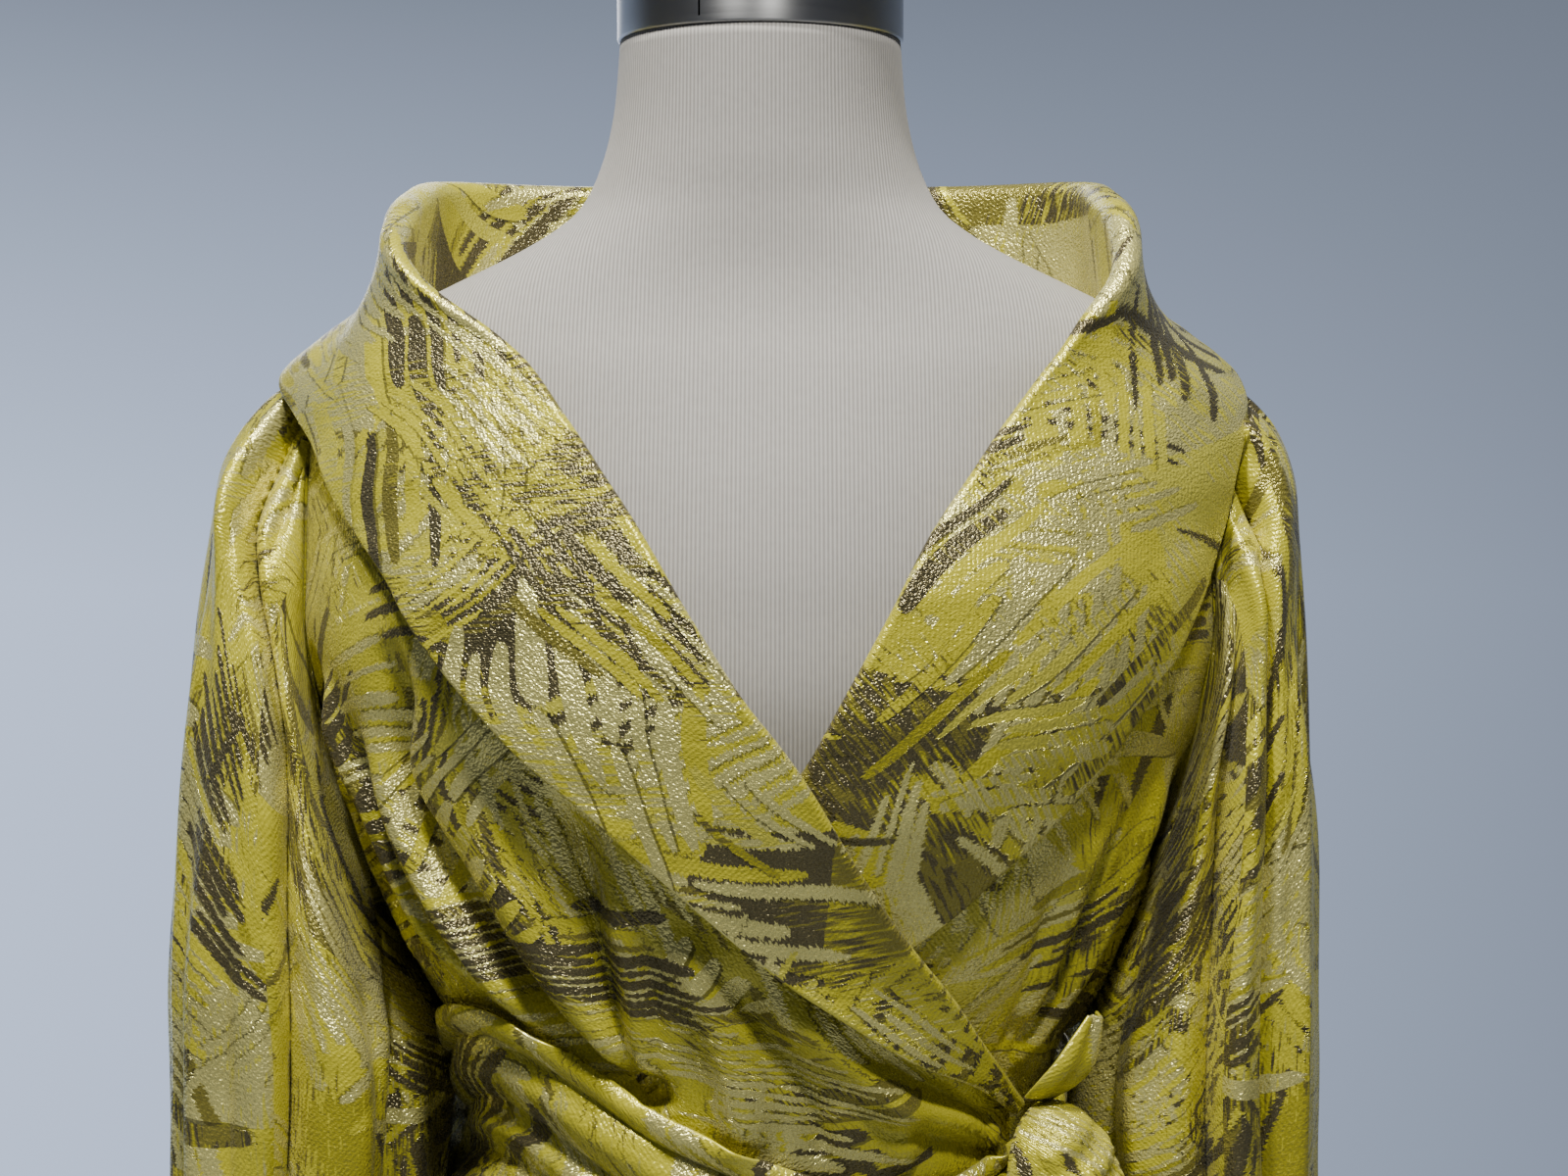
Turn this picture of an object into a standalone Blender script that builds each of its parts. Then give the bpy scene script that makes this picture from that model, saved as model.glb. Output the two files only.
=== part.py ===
"""Evening gown on a limbless dress form: a wrap gown with a shawl collar, full sleeves and a tied sash.

Units are metres, +Z is up, the gown faces -Y and the wearer's left is +X. The origin is on the floor,
under the middle of the stand's base. Azimuths are degrees round the body from the front, positive
towards +X, so 90 is the wearer's left side and 180 the middle of the back. "Over" is the wearer's right
front, which wraps over the other, and "under" is the wearer's left front.
"""

from collections import namedtuple
from math import cos, exp, pi, radians, sin, tan

import bmesh
import bpy
from mathutils import Vector

# Cloth walls and the clearances between pieces
BODY_WALL = 0.0013
COLLAR_WALL = 0.0016
SLEEVE_WALL = 0.0013
SASH_WALL = 0.0016
CUFF_WALL = 0.0020
SEAM_GAP = 0.0003
WAIST_SEAM_GAP = 0.0012
COLLAR_SEAM_GAP = 0.0011
LAP_CLEARANCE = 0.0014

# Heights of the gown
HEM_Z = 0.018
WAIST_Z = 1.056
UNDERARM_Z = 1.204
SHOULDER_TIP_Z = 1.375
ARMHOLE_HALF_ANGLE = 20.0
OVERLAP_RISE = 0.0094
OVERLAP_START, OVERLAP_FULL = -72.0, -48.0
SKIRT_OVERLAP_SHARE = 0.36

# The stand
BASE_RADIUS = 0.190
BASE_THICKNESS = 0.010
POLE_RADIUS = 0.015
SOCKET_RADIUS = 0.026
SOCKET_HEIGHT = 0.050
FORM_BOTTOM_Z = 0.800
NECK_TOP_Z = 1.518
NECK_TILT = 4.5
NECK_CAP_RADIUS = 0.0612
NECK_CAP_HEIGHT = 0.030

Section = namedtuple("Section", "z half_width front back")

# The dress form, from its underside to the top of its neck
FORM_SECTIONS = [
    Section(FORM_BOTTOM_Z, 0.150, 0.108, 0.120),
    Section(0.860, 0.158, 0.113, 0.128),
    Section(0.920, 0.154, 0.110, 0.122),
    Section(0.980, 0.136, 0.102, 0.104),
    Section(1.050, 0.111, 0.091, 0.087),
    Section(1.100, 0.113, 0.096, 0.089),
    Section(1.150, 0.125, 0.106, 0.096),
    Section(1.200, 0.143, 0.116, 0.103),
    Section(1.240, 0.153, 0.120, 0.108),
    Section(1.280, 0.160, 0.115, 0.112),
    Section(1.320, 0.168, 0.104, 0.110),
    Section(1.350, 0.176, 0.092, 0.104),
    Section(1.375, 0.1825, 0.0810, 0.0940),
    Section(1.390, 0.1740, 0.0735, 0.0855),
    Section(1.402, 0.1550, 0.0690, 0.0795),
    Section(1.414, 0.1310, 0.0660, 0.0735),
    Section(1.424, 0.1100, 0.0645, 0.0695),
    Section(1.434, 0.0920, 0.0635, 0.0665),
    Section(1.445, 0.0780, 0.0625, 0.0645),
    Section(1.458, 0.0705, 0.0620, 0.0630),
    Section(1.475, 0.0650, 0.0610, 0.0615),
    Section(1.492, 0.0620, 0.0605, 0.0605),
    Section(NECK_TOP_Z, 0.0600, 0.0600, 0.0600),
]

# The inside of the gown's bodice. From the shoulder tip up it rests on the form's shoulders
BODICE_SECTIONS = [
    Section(1.000, 0.128, 0.108, 0.104),
    Section(1.030, 0.120, 0.104, 0.097),
    Section(1.056, 0.118, 0.103, 0.094),
    Section(1.080, 0.122, 0.105, 0.095),
    Section(1.100, 0.129, 0.107, 0.097),
    Section(1.130, 0.145, 0.113, 0.100),
    Section(1.155, 0.1555, 0.119, 0.103),
    Section(1.178, 0.164, 0.124, 0.107),
    Section(1.205, 0.1745, 0.129, 0.111),
    Section(1.236, 0.188, 0.131, 0.115),
    Section(1.277, 0.1965, 0.127, 0.118),
    Section(1.320, 0.196, 0.112, 0.115),
    Section(1.350, 0.192, 0.0980, 0.1085),
    Section(1.375, 0.1875, 0.0850, 0.1010),
    Section(1.390, 0.1785, 0.0770, 0.0918),
    Section(1.402, 0.1590, 0.0720, 0.0835),
    Section(1.414, 0.1350, 0.0690, 0.0770),
    Section(1.424, 0.1130, 0.0670, 0.0725),
    Section(1.440, 0.0860, 0.0650, 0.0685),
]

# The inside of the skirt, from the hem to the waist
SKIRT_SECTIONS = [
    Section(0.000, 0.368, 0.346, 0.368),
    Section(0.150, 0.335, 0.312, 0.335),
    Section(0.350, 0.287, 0.262, 0.286),
    Section(0.550, 0.241, 0.211, 0.237),
    Section(0.700, 0.207, 0.174, 0.199),
    Section(0.800, 0.186, 0.151, 0.175),
    Section(0.880, 0.171, 0.134, 0.157),
    Section(0.950, 0.153, 0.122, 0.138),
    Section(1.000, 0.134, 0.111, 0.119),
    Section(1.056, 0.118, 0.103, 0.094),
]
FLUTES = 12
FLUTE_AT_HEM = 0.016
FLUTE_COLUMN_DEG = 6.0

# One row for each soft fold of a front: a ridge from one end to the other, in degrees and metres
Fold = namedtuple("Fold", "deg_1 z_1 deg_2 z_2 half_width height")

OVER_FOLDS = [
    Fold(-66.0, 1.218, -27.0, 1.102, 0.0080, 0.0080),
    Fold(-70.0, 1.168, -46.0, 1.124, 0.0090, 0.0050),
    Fold(-36.0, 1.205, -17.5, 1.092, 0.0085, 0.0055),
    Fold(-16.0, 1.160, 2.0, 1.072, 0.0095, 0.0045),
    Fold(6.0, 1.126, 27.0, 1.066, 0.0080, 0.0040),
    Fold(-62.0, 1.262, -48.0, 1.190, 0.0120, 0.0040),
]
UNDER_FOLDS = [
    Fold(70.0, 1.215, 58.0, 1.100, 0.0100, 0.0055),
    Fold(56.0, 1.185, 51.0, 1.096, 0.0080, 0.0040),
    Fold(76.0, 1.150, 68.0, 1.096, 0.0080, 0.0035),
]
BACK_FOLDS = [
    Fold(118.0, 1.300, 150.0, 1.125, 0.0140, 0.0040),
    Fold(-118.0, 1.300, -150.0, 1.125, 0.0140, 0.0040),
    Fold(112.0, 1.180, 126.0, 1.108, 0.0110, 0.0035),
    Fold(-112.0, 1.180, -126.0, 1.112, 0.0110, 0.0035),
    Fold(160.0, 1.180, 166.0, 1.106, 0.0110, 0.0030),
    Fold(-160.0, 1.180, -166.0, 1.106, 0.0110, 0.0030),
]

# One row for each section across the collar, from its front tip to the middle of the back. The stand
# starts at the neckline seam, rises to the roll, and the leaf falls from there to the outer edge
CollarRow = namedtuple(
    "CollarRow", "seam_deg seam_z roll_deg roll_z rise upright edge_deg edge_z edge_lift"
)

OVER_COLLAR = [
    CollarRow(48.8, 1.0808, 50.0, 1.0828, 0.0022, 0.0, 48.6, 1.0802, 0.0030),
    CollarRow(41.0, 1.0944, 43.2, 1.0956, 0.0026, 0.0, 39.5, 1.0922, 0.0034),
    CollarRow(28.0, 1.1185, 30.7, 1.1228, 0.0028, 0.0, 21.8, 1.1118, 0.0036),
    CollarRow(13.4, 1.1575, 16.1, 1.1636, 0.0029, 0.0, 2.3, 1.1463, 0.0036),
    CollarRow(0.0, 1.2140, 3.2, 1.2200, 0.0030, 0.0, -17.5, 1.1995, 0.0036),
    CollarRow(-6.0, 1.2390, -2.7, 1.2445, 0.0031, 0.0, -27.0, 1.2265, 0.0036),
    CollarRow(-12.9, 1.2750, -9.5, 1.2814, 0.0031, 0.0, -36.0, 1.2580, 0.0036),
    CollarRow(-19.8, 1.3090, -16.2, 1.3161, 0.0033, 0.0, -43.5, 1.2869, 0.0036),
    CollarRow(-26.0, 1.3350, -22.0, 1.3420, 0.0036, 0.05, -51.0, 1.3095, 0.0038),
    CollarRow(-34.0, 1.3610, -29.5, 1.3685, 0.0060, 0.10, -60.5, 1.3370, 0.0095),
    CollarRow(-47.5, 1.3830, -41.0, 1.3835, 0.0130, 0.30, -73.0, 1.3600, 0.0160),
    CollarRow(-70.0, 1.4035, -66.0, 1.4030, 0.0285, 0.60, -86.0, 1.3730, 0.0145),
    CollarRow(-92.0, 1.4090, -92.0, 1.4100, 0.0385, 0.70, -98.0, 1.3800, 0.0120),
    CollarRow(-118.0, 1.4040, -118.0, 1.4060, 0.0535, 0.75, -118.0, 1.3700, 0.0095),
    CollarRow(-148.0, 1.4020, -148.0, 1.4040, 0.0590, 0.85, -146.0, 1.3480, 0.0050),
    CollarRow(-180.0, 1.4020, -180.0, 1.4040, 0.0605, 0.90, -180.0, 1.3400, 0.0040),
]
UNDER_COLLAR = [
    CollarRow(-13.5, 1.1460, -16.0, 1.1500, 0.0018, 0.0, -12.0, 1.1400, 0.0026),
    CollarRow(-4.0, 1.1640, -7.0, 1.1700, 0.0024, 0.0, 10.0, 1.1360, 0.0028),
    CollarRow(2.7, 1.1860, -0.5, 1.1920, 0.0028, 0.0, 22.5, 1.1515, 0.0028),
    CollarRow(9.0, 1.2065, 5.7, 1.2132, 0.0029, 0.0, 33.0, 1.1760, 0.0030),
    CollarRow(13.8, 1.2350, 10.5, 1.2425, 0.0030, 0.0, 43.0, 1.2025, 0.0030),
    CollarRow(18.7, 1.2665, 15.3, 1.2735, 0.0031, 0.0, 50.5, 1.2345, 0.0032),
    CollarRow(23.6, 1.2945, 20.0, 1.3020, 0.0032, 0.0, 58.5, 1.2680, 0.0034),
    CollarRow(29.2, 1.3195, 25.4, 1.3265, 0.0034, 0.0, 66.0, 1.2960, 0.0060),
    CollarRow(35.2, 1.3420, 31.0, 1.3480, 0.0040, 0.05, 70.5, 1.3275, 0.0125),
    CollarRow(43.5, 1.3660, 38.5, 1.3705, 0.0075, 0.15, 77.0, 1.3520, 0.0165),
    CollarRow(54.5, 1.3870, 47.5, 1.3865, 0.0165, 0.30, 85.0, 1.3680, 0.0155),
    CollarRow(73.0, 1.4040, 69.5, 1.4040, 0.0300, 0.60, 92.5, 1.3770, 0.0135),
    CollarRow(92.0, 1.4090, 92.0, 1.4100, 0.0385, 0.70, 99.0, 1.3790, 0.0120),
    CollarRow(118.0, 1.4040, 118.0, 1.4060, 0.0535, 0.75, 118.0, 1.3700, 0.0095),
    CollarRow(148.0, 1.4020, 148.0, 1.4040, 0.0590, 0.85, 146.0, 1.3480, 0.0050),
    CollarRow(180.0, 1.4020, 180.0, 1.4040, 0.0605, 0.90, 180.0, 1.3400, 0.0040),
]
ROLL_RADIUS_FLAT, ROLL_RADIUS_STANDING = 0.0022, 0.0065
LEAF_LIFT = 0.0030

# One row for each ring of a sleeve, from the armhole to the cuff
SleeveRow = namedtuple("SleeveRow", "outer_x outer_z inner_x inner_z half_depth centre_y")

SLEEVE_ROWS = [
    SleeveRow(0.1870, 1.3750, 0.1745, 1.2040, 0.050, 0.000),
    SleeveRow(0.2015, 1.3745, 0.1765, 1.1975, 0.046, -0.001),
    SleeveRow(0.2165, 1.3625, 0.1752, 1.1895, 0.053, -0.002),
    SleeveRow(0.2250, 1.3430, 0.1705, 1.1800, 0.060, -0.004),
    SleeveRow(0.2295, 1.3160, 0.1665, 1.1690, 0.066, -0.006),
    SleeveRow(0.2338, 1.2810, 0.1615, 1.1550, 0.070, -0.009),
    SleeveRow(0.2380, 1.2370, 0.1550, 1.1380, 0.072, -0.013),
    SleeveRow(0.2415, 1.1880, 0.1460, 1.1180, 0.073, -0.017),
    SleeveRow(0.2432, 1.1380, 0.1375, 1.0940, 0.073, -0.021),
    SleeveRow(0.2430, 1.0880, 0.1345, 1.0640, 0.073, -0.024),
    SleeveRow(0.2420, 1.0330, 0.1400, 1.0250, 0.073, -0.025),
    SleeveRow(0.2465, 0.9800, 0.1530, 0.9800, 0.073, -0.024),
    SleeveRow(0.2560, 0.9300, 0.1710, 0.9300, 0.072, -0.022),
    SleeveRow(0.2670, 0.8780, 0.1880, 0.8780, 0.067, -0.021),
    SleeveRow(0.2720, 0.8320, 0.2010, 0.8320, 0.054, -0.020),
    SleeveRow(0.2690, 0.7980, 0.2110, 0.7980, 0.037, -0.020),
]
ARMHOLE_BLEND_ROWS = 3.5
ARMHOLE_TURN_IN = 1.6
LEFT_SLEEVE_TRIM, LEFT_SLEEVE_BACK = 0.0095, 0.0150

# Fullness of a sleeve that fills the space beside the waist, behind
TUCK_DEPTH, TUCK_DEG, TUCK_HALF_DEG = 0.022, 216.0, 26.0
RIGHT_TUCK_START, LEFT_TUCK_START, TUCK_END = 0.33, 0.14, 0.72

# One row for each lengthwise fold of a sleeve: where it lies round the ring from the front (90 is
# outwards) at its start and at its end, its half width, its height (below 0 for a valley), and where
# it starts and ends along the sleeve
SleeveFold = namedtuple("SleeveFold", "deg end_deg half_deg height start end")

RIGHT_SLEEVE_FOLDS = [
    SleeveFold(-13.0, -5.0, 11.0, -0.0115, 0.20, 0.98),
    SleeveFold(-80.0, -52.0, 11.0, -0.0095, 0.34, 0.98),
    SleeveFold(60.0, 62.0, 14.0, -0.0050, 0.20, 0.95),
    SleeveFold(132.0, 128.0, 15.0, -0.0095, 0.06, 0.98),
    SleeveFold(186.0, 182.0, 16.0, -0.0105, 0.12, 0.98),
    SleeveFold(92.0, 86.0, 8.0, -0.0065, 0.02, 0.26),
    SleeveFold(58.0, 22.0, 9.0, -0.0105, 0.02, 0.26),
    SleeveFold(112.0, 106.0, 8.0, -0.0060, 0.02, 0.24),
    SleeveFold(32.0, 10.0, 8.0, -0.0060, 0.03, 0.22),
    SleeveFold(152.0, 148.0, 8.0, -0.0060, 0.02, 0.24),
]
LEFT_SLEEVE_FOLDS = [
    SleeveFold(-14.0, -12.0, 11.0, -0.0090, 0.22, 0.98),
    SleeveFold(16.0, 22.0, 9.0, -0.0050, 0.20, 0.95),
    SleeveFold(-56.0, -60.0, 11.0, -0.0070, 0.24, 0.95),
    SleeveFold(74.0, 74.0, 14.0, -0.0060, 0.26, 0.95),
    SleeveFold(130.0, 130.0, 15.0, -0.0100, 0.08, 0.98),
    SleeveFold(188.0, 184.0, 16.0, -0.0105, 0.12, 0.98),
    SleeveFold(64.0, 76.0, 8.0, -0.0085, 0.02, 0.24),
    SleeveFold(44.0, 27.0, 10.0, -0.0110, 0.02, 0.28),
    SleeveFold(108.0, 108.0, 8.0, -0.0070, 0.02, 0.24),
    SleeveFold(154.0, 150.0, 8.0, -0.0060, 0.02, 0.24),
]
CUFF_GATHERS = 14
CUFF_GATHER_HEIGHT = 0.0016

# The cuffs, ring sizes and heights
CUFF_TOP_Z, CUFF_BOTTOM_Z = 0.7972, 0.7400
CUFF_CENTRE_X, CUFF_CENTRE_Y = 0.2400, -0.0200
CUFF_HALF_WIDTH, CUFF_HALF_DEPTH = 0.0295, 0.0375

# The sash, its height round the body, and its knot over the wearer's left front
SashRow = namedtuple("SashRow", "deg top_z bottom_z")

SASH_ROWS = [
    SashRow(-300.0, 1.078, 1.010),
    SashRow(-270.0, 1.090, 1.014),
    SashRow(-225.0, 1.098, 1.022),
    SashRow(-180.0, 1.100, 1.026),
    SashRow(-135.0, 1.106, 1.030),
    SashRow(-90.0, 1.093, 1.026),
    SashRow(-68.0, 1.109, 1.032),
    SashRow(-50.0, 1.121, 1.034),
    SashRow(-36.6, 1.113, 1.024),
    SashRow(-21.2, 1.0905, 1.008),
    SashRow(-7.0, 1.0755, 0.997),
    SashRow(8.0, 1.0610, 0.989),
    SashRow(26.0, 1.0520, 0.988),
    SashRow(44.0, 1.0620, 0.998),
    SashRow(56.0, 1.0720, 1.006),
]
SASH_PLEATS = 3
SASH_PLEAT_HEIGHT = 0.0032
SASH_CLEARANCE = 0.0011
KNOT_DEG, KNOT_Z = 51.0, 1.048
KNOT_HALF_WIDTH, KNOT_HALF_HEIGHT, KNOT_DEPTH = 0.0300, 0.0360, 0.0300
KNOT_WRAPS = 5
KNOT_WRAP_HEIGHT = 0.0018

# One row for each section of a sash end: place, half width, and how far it stands off the gown
EndRow = namedtuple("EndRow", "deg z half_width lift cup")

UPPER_END = [
    EndRow(49.5, 1.0910, 0.0080, 0.0220, 0.0030),
    EndRow(50.2, 1.1000, 0.0105, 0.0265, 0.0040),
    EndRow(51.2, 1.1095, 0.0100, 0.0280, 0.0050),
    EndRow(52.3, 1.1185, 0.0075, 0.0265, 0.0040),
    EndRow(53.2, 1.1260, 0.0035, 0.0245, 0.0020),
]
LONG_TAIL = [
    EndRow(45.5, 1.0118, 0.0100, 0.0200, 0.0030),
    EndRow(44.0, 0.9700, 0.0190, 0.0170, 0.0050),
    EndRow(42.8, 0.9000, 0.0270, 0.0110, 0.0050),
    EndRow(42.0, 0.8000, 0.0310, 0.0085, 0.0050),
    EndRow(41.2, 0.6800, 0.0340, 0.0085, 0.0040),
    EndRow(40.5, 0.5700, 0.0360, 0.0090, 0.0040),
]
SHORT_TAIL = [
    EndRow(56.0, 1.0127, 0.0090, 0.0180, 0.0030),
    EndRow(60.5, 0.9700, 0.0160, 0.0120, 0.0040),
    EndRow(64.5, 0.9000, 0.0230, 0.0080, 0.0045),
    EndRow(67.5, 0.8100, 0.0270, 0.0070, 0.0045),
    EndRow(69.5, 0.7000, 0.0300, 0.0070, 0.0040),
]

# Colours of the finishes, and (roughness, metallic)
BROCADE = ((0.62, 0.56, 0.10, 1.0), 0.42, 0.35)
LINEN = ((0.72, 0.70, 0.67, 1.0), 0.85, 0.0)
BRUSHED_STEEL = ((0.33, 0.33, 0.34, 1.0), 0.38, 1.0)
BLACK_ENAMEL = ((0.03, 0.03, 0.032, 1.0), 0.45, 0.0)

# Grid sizes, as cells across and along
FORM_CELLS_ROUND = 28
BACK_CELLS = (20, 14)
FRONT_CELLS = (18, 17)
COLLAR_CELLS_ALONG = 26
COLLAR_STAND_CELLS, COLLAR_ROLL_CELLS, COLLAR_LEAF_CELLS = 2, 3, 6
SLEEVE_CELLS = (28, 15)
SKIRT_CELLS_DOWN = 6
SASH_CELLS = (36, 7)
END_CELLS = (4, 6)
CUFF_CELLS = (24, 1)
ROUND_STEPS = 32


def smooth(x):
    """0 below 0, 1 above 1, and an eased step between."""
    x = min(1.0, max(0.0, x))
    return x * x * (3 - 2 * x)


def mix(a, b, t):
    """The value a share t of the way from a to b."""
    return a + (b - a) * t


def table_at(rows, place):
    """A table's row at a fractional row number, on a smooth curve through its rows."""
    place = min(max(place, 0.0), len(rows) - 1.0)
    i = min(int(place), len(rows) - 2)
    t = place - i
    before, here, there, after = (
        rows[max(i - 1, 0)], rows[i], rows[i + 1], rows[min(i + 2, len(rows) - 1)]
    )
    values = []
    for p, a, b, n in zip(before, here, there, after):
        start, end = (b - p) / 2, (n - a) / 2
        values.append(
            a + t * (start + t * (3 * (b - a) - 2 * start - end + t * (2 * (a - b) + start + end)))
        )
    return type(rows[0])(*values)


def place_of(rows, column, value):
    """The fractional row number at which a rising column reaches a value."""
    for i in range(len(rows) - 1):
        a, b = rows[i][column], rows[i + 1][column]
        if value <= b or i == len(rows) - 2:
            return i + (value - a) / (b - a)
    return 0.0


def sections_at(sections, z):
    """Half width, front depth and back depth of a body at one height."""
    place = min(max(place_of(sections, 0, z), 0.0), len(sections) - 1.0)
    i = min(int(place), len(sections) - 2)
    low, high = sections[i], sections[i + 1]
    return [mix(low[k], high[k], place - i) for k in (1, 2, 3)]


def body_point(sections, deg, z):
    """The point of a body's outline at an azimuth and a height."""
    half_width, front, back = sections_at(sections, z)
    a = radians(deg)
    depth = front if cos(a) > 0 else back
    return Vector((half_width * sin(a), -depth * cos(a), z))


def body_normal(sections, deg, z):
    """The direction square to that body's surface, pointing out."""
    around = body_point(sections, deg + 1.0, z) - body_point(sections, deg - 1.0, z)
    step = 0.006
    up = body_point(sections, deg, z + step) - body_point(sections, deg, z - step)
    return around.cross(up).normalized()


def neck_tilted(point):
    """A point of the form, with the top of the neck leaning forward."""
    lean = smooth((point.z - 1.450) / (NECK_TOP_Z - 1.450))
    return Vector((point.x, point.y, point.z + point.y * tan(radians(NECK_TILT)) * lean))


def fold_height(folds, deg, z):
    """How far the folds lift the cloth at one place."""
    reach = 0.14 * pi / 180
    total = 0.0
    for fold in folds:
        ax, az = (fold.deg_2 - fold.deg_1) * reach, fold.z_2 - fold.z_1
        px, pz = (deg - fold.deg_1) * reach, z - fold.z_1
        along = min(1.0, max(0.0, (px * ax + pz * az) / (ax * ax + az * az)))
        off = ((px - along * ax) ** 2 + (pz - along * az) ** 2) ** 0.5
        fade = smooth(along * 4) * smooth((1 - along) * 6)
        total += fold.height * fade * exp(-((off / fold.half_width) ** 2))
    return total


def over_rise(deg):
    """How far the over front lies outside the under front's surface at an azimuth."""
    left = smooth((deg - OVERLAP_START) / (OVERLAP_FULL - OVERLAP_START))
    return OVERLAP_RISE * left


def bodice_point(deg, z, rise=0.0, folds=()):
    """A point on the bodice's cloth, moved out by rise and lifted by its folds."""
    lift = rise + fold_height(folds, deg, z)
    return body_point(BODICE_SECTIONS, deg, z) + body_normal(BODICE_SECTIONS, deg, z) * lift


def armhole_place(turn, side):
    """Azimuth and height on the armhole: 0 is its front, 90 the shoulder tip and -90 the underarm."""
    z = mix(UNDERARM_Z, SHOULDER_TIP_Z, (1 + sin(radians(turn))) / 2)
    return side * (90.0 - ARMHOLE_HALF_ANGLE * cos(radians(turn))), z


def side_edge(v, side, front):
    """The side seam up to the underarm, and then the armhole up to the shoulder tip."""
    seam_share = 0.42
    if v < seam_share:
        return side * 90.0, mix(WAIST_Z, UNDERARM_Z, v / seam_share)
    turn = 180 * (v - seam_share) / (1 - seam_share)
    return armhole_place(-90 + turn if front else -90 - turn, side)


def patch(bottom, top, left, right):
    """A surface through four edge functions, each giving (azimuth, height) along its own length."""

    def at(u, v):
        corners = (
            (1 - u) * (1 - v), bottom(0.0), u * (1 - v), bottom(1.0),
            (1 - u) * v, top(0.0), u * v, top(1.0),
        )
        found = []
        for k in (0, 1):
            edges = mix(bottom(u)[k], top(u)[k], v) + mix(left(v)[k], right(v)[k], u)
            corner = sum(corners[i] * corners[i + 1][k] for i in range(0, 8, 2))
            found.append(edges - corner)
        return found

    return at


def new_mesh(name, points, faces, collection, edges=()):
    """A mesh object from points and faces, or from points and edges for an outline."""
    mesh = bpy.data.meshes.new(name)
    mesh.from_pydata(points, edges, faces)
    mesh.update()
    thing = bpy.data.objects.new(name, mesh)
    collection.objects.link(thing)
    return thing


def grid_faces(across, along, closed=False, flip=False):
    """The four-sided faces of a grid whose points run across first."""
    columns = across if closed else across + 1
    faces = []
    for j in range(along):
        for i in range(across):
            a, b = j * columns + i, j * columns + (i + 1) % columns
            face = (a, b, b + columns, a + columns)
            faces.append(face[::-1] if flip else face)
    return faces


def cloth(
    name, points, across, along, wall, material, collection, closed=False, flip=False, offset=1.0
):
    """A sheet of cloth from a grid of points, given its wall on its outer side or on both sides."""
    thing = new_mesh(name, points, grid_faces(across, along, closed, flip), collection)
    shell = thing.modifiers.new("wall", "SOLIDIFY")
    shell.thickness = wall
    shell.offset = offset
    thing.data.materials.append(material)
    thing.data.shade_smooth()
    return thing


def grid_points(across, along, at, closed=False):
    """The points of a surface function on an even grid."""
    columns = across if closed else across + 1
    return [at(i / across, j / along) for j in range(along + 1) for i in range(columns)]


def finish_material(name, finish):
    """A material with one colour, roughness and metallic value."""
    colour, roughness, metallic = finish
    material = bpy.data.materials.new(name)
    material.use_nodes = True
    shader = material.node_tree.nodes["Principled BSDF"]
    shader.inputs["Base Color"].default_value = colour
    shader.inputs["Roughness"].default_value = roughness
    shader.inputs["Metallic"].default_value = metallic
    material.diffuse_color = colour
    return material


def turned(name, profile, material, collection):
    """A solid of revolution about Z from (radius, height) pairs that run down its outer side."""
    edges = [(i, i + 1) for i in range(len(profile) - 1)]
    thing = new_mesh(name, [(r, 0.0, z) for r, z in profile], [], collection, edges)
    screw = thing.modifiers.new("turn", "SCREW")
    screw.steps = screw.render_steps = ROUND_STEPS
    screw.use_merge_vertices = True
    screw.merge_threshold = 0.0001
    thing.data.materials.append(material)
    return thing


def build_form(material, collection):
    """The padded torso that the gown rests on, closed at its underside and at the top of the neck."""
    across = FORM_CELLS_ROUND
    heights = [row.z for row in FORM_SECTIONS]
    rows = [heights[0]]
    for low, high in zip(heights, heights[1:]):
        steps = 2 if high - low > 0.055 else 1
        rows += [mix(low, high, (k + 1) / steps) for k in range(steps)]
    points = [
        neck_tilted(body_point(FORM_SECTIONS, 360.0 * i / across, z))
        for z in rows for i in range(across)
    ]
    faces = grid_faces(across, len(rows) - 1, closed=True)
    faces.append(tuple(reversed(range(across))))
    faces.append(tuple(range((len(rows) - 1) * across, len(rows) * across)))
    form = new_mesh("form_torso", points, faces, collection)
    form.data.materials.append(material)
    form.data.shade_smooth()
    return form


def build_stand(steel, enamel, collection):
    """The neck cap, the pole with its socket, and the base that the object stands on."""
    cap_bottom, cap_top = SEAM_GAP, NECK_CAP_HEIGHT
    dome = 0.004
    cap = turned(
        "neck_cap",
        [
            (0.0, cap_top + dome), (NECK_CAP_RADIUS * 0.6, cap_top + dome * 0.7),
            (NECK_CAP_RADIUS - 0.002, cap_top), (NECK_CAP_RADIUS, cap_top - 0.002),
            (NECK_CAP_RADIUS, cap_bottom + 0.0015), (NECK_CAP_RADIUS - 0.0015, cap_bottom),
            (0.0, cap_bottom),
        ],
        steel, collection,
    )
    cap.location.z = NECK_TOP_Z
    cap.rotation_euler.x = radians(NECK_TILT)
    turned(
        "stand_pole",
        [
            (0.0, FORM_BOTTOM_Z - SEAM_GAP), (SOCKET_RADIUS, FORM_BOTTOM_Z - SEAM_GAP),
            (SOCKET_RADIUS, FORM_BOTTOM_Z - SOCKET_HEIGHT),
            (POLE_RADIUS, FORM_BOTTOM_Z - SOCKET_HEIGHT - 0.012),
            (POLE_RADIUS, BASE_THICKNESS + 0.030), (POLE_RADIUS + 0.012, BASE_THICKNESS + 0.016),
            (POLE_RADIUS + 0.014, BASE_THICKNESS + SEAM_GAP), (0.0, BASE_THICKNESS + SEAM_GAP),
        ],
        enamel, collection,
    )
    turned(
        "stand_base",
        [
            (0.0, BASE_THICKNESS), (BASE_RADIUS - 0.006, BASE_THICKNESS),
            (BASE_RADIUS, BASE_THICKNESS - 0.005), (BASE_RADIUS, 0.0), (0.0, 0.0),
        ],
        enamel, collection,
    )


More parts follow.
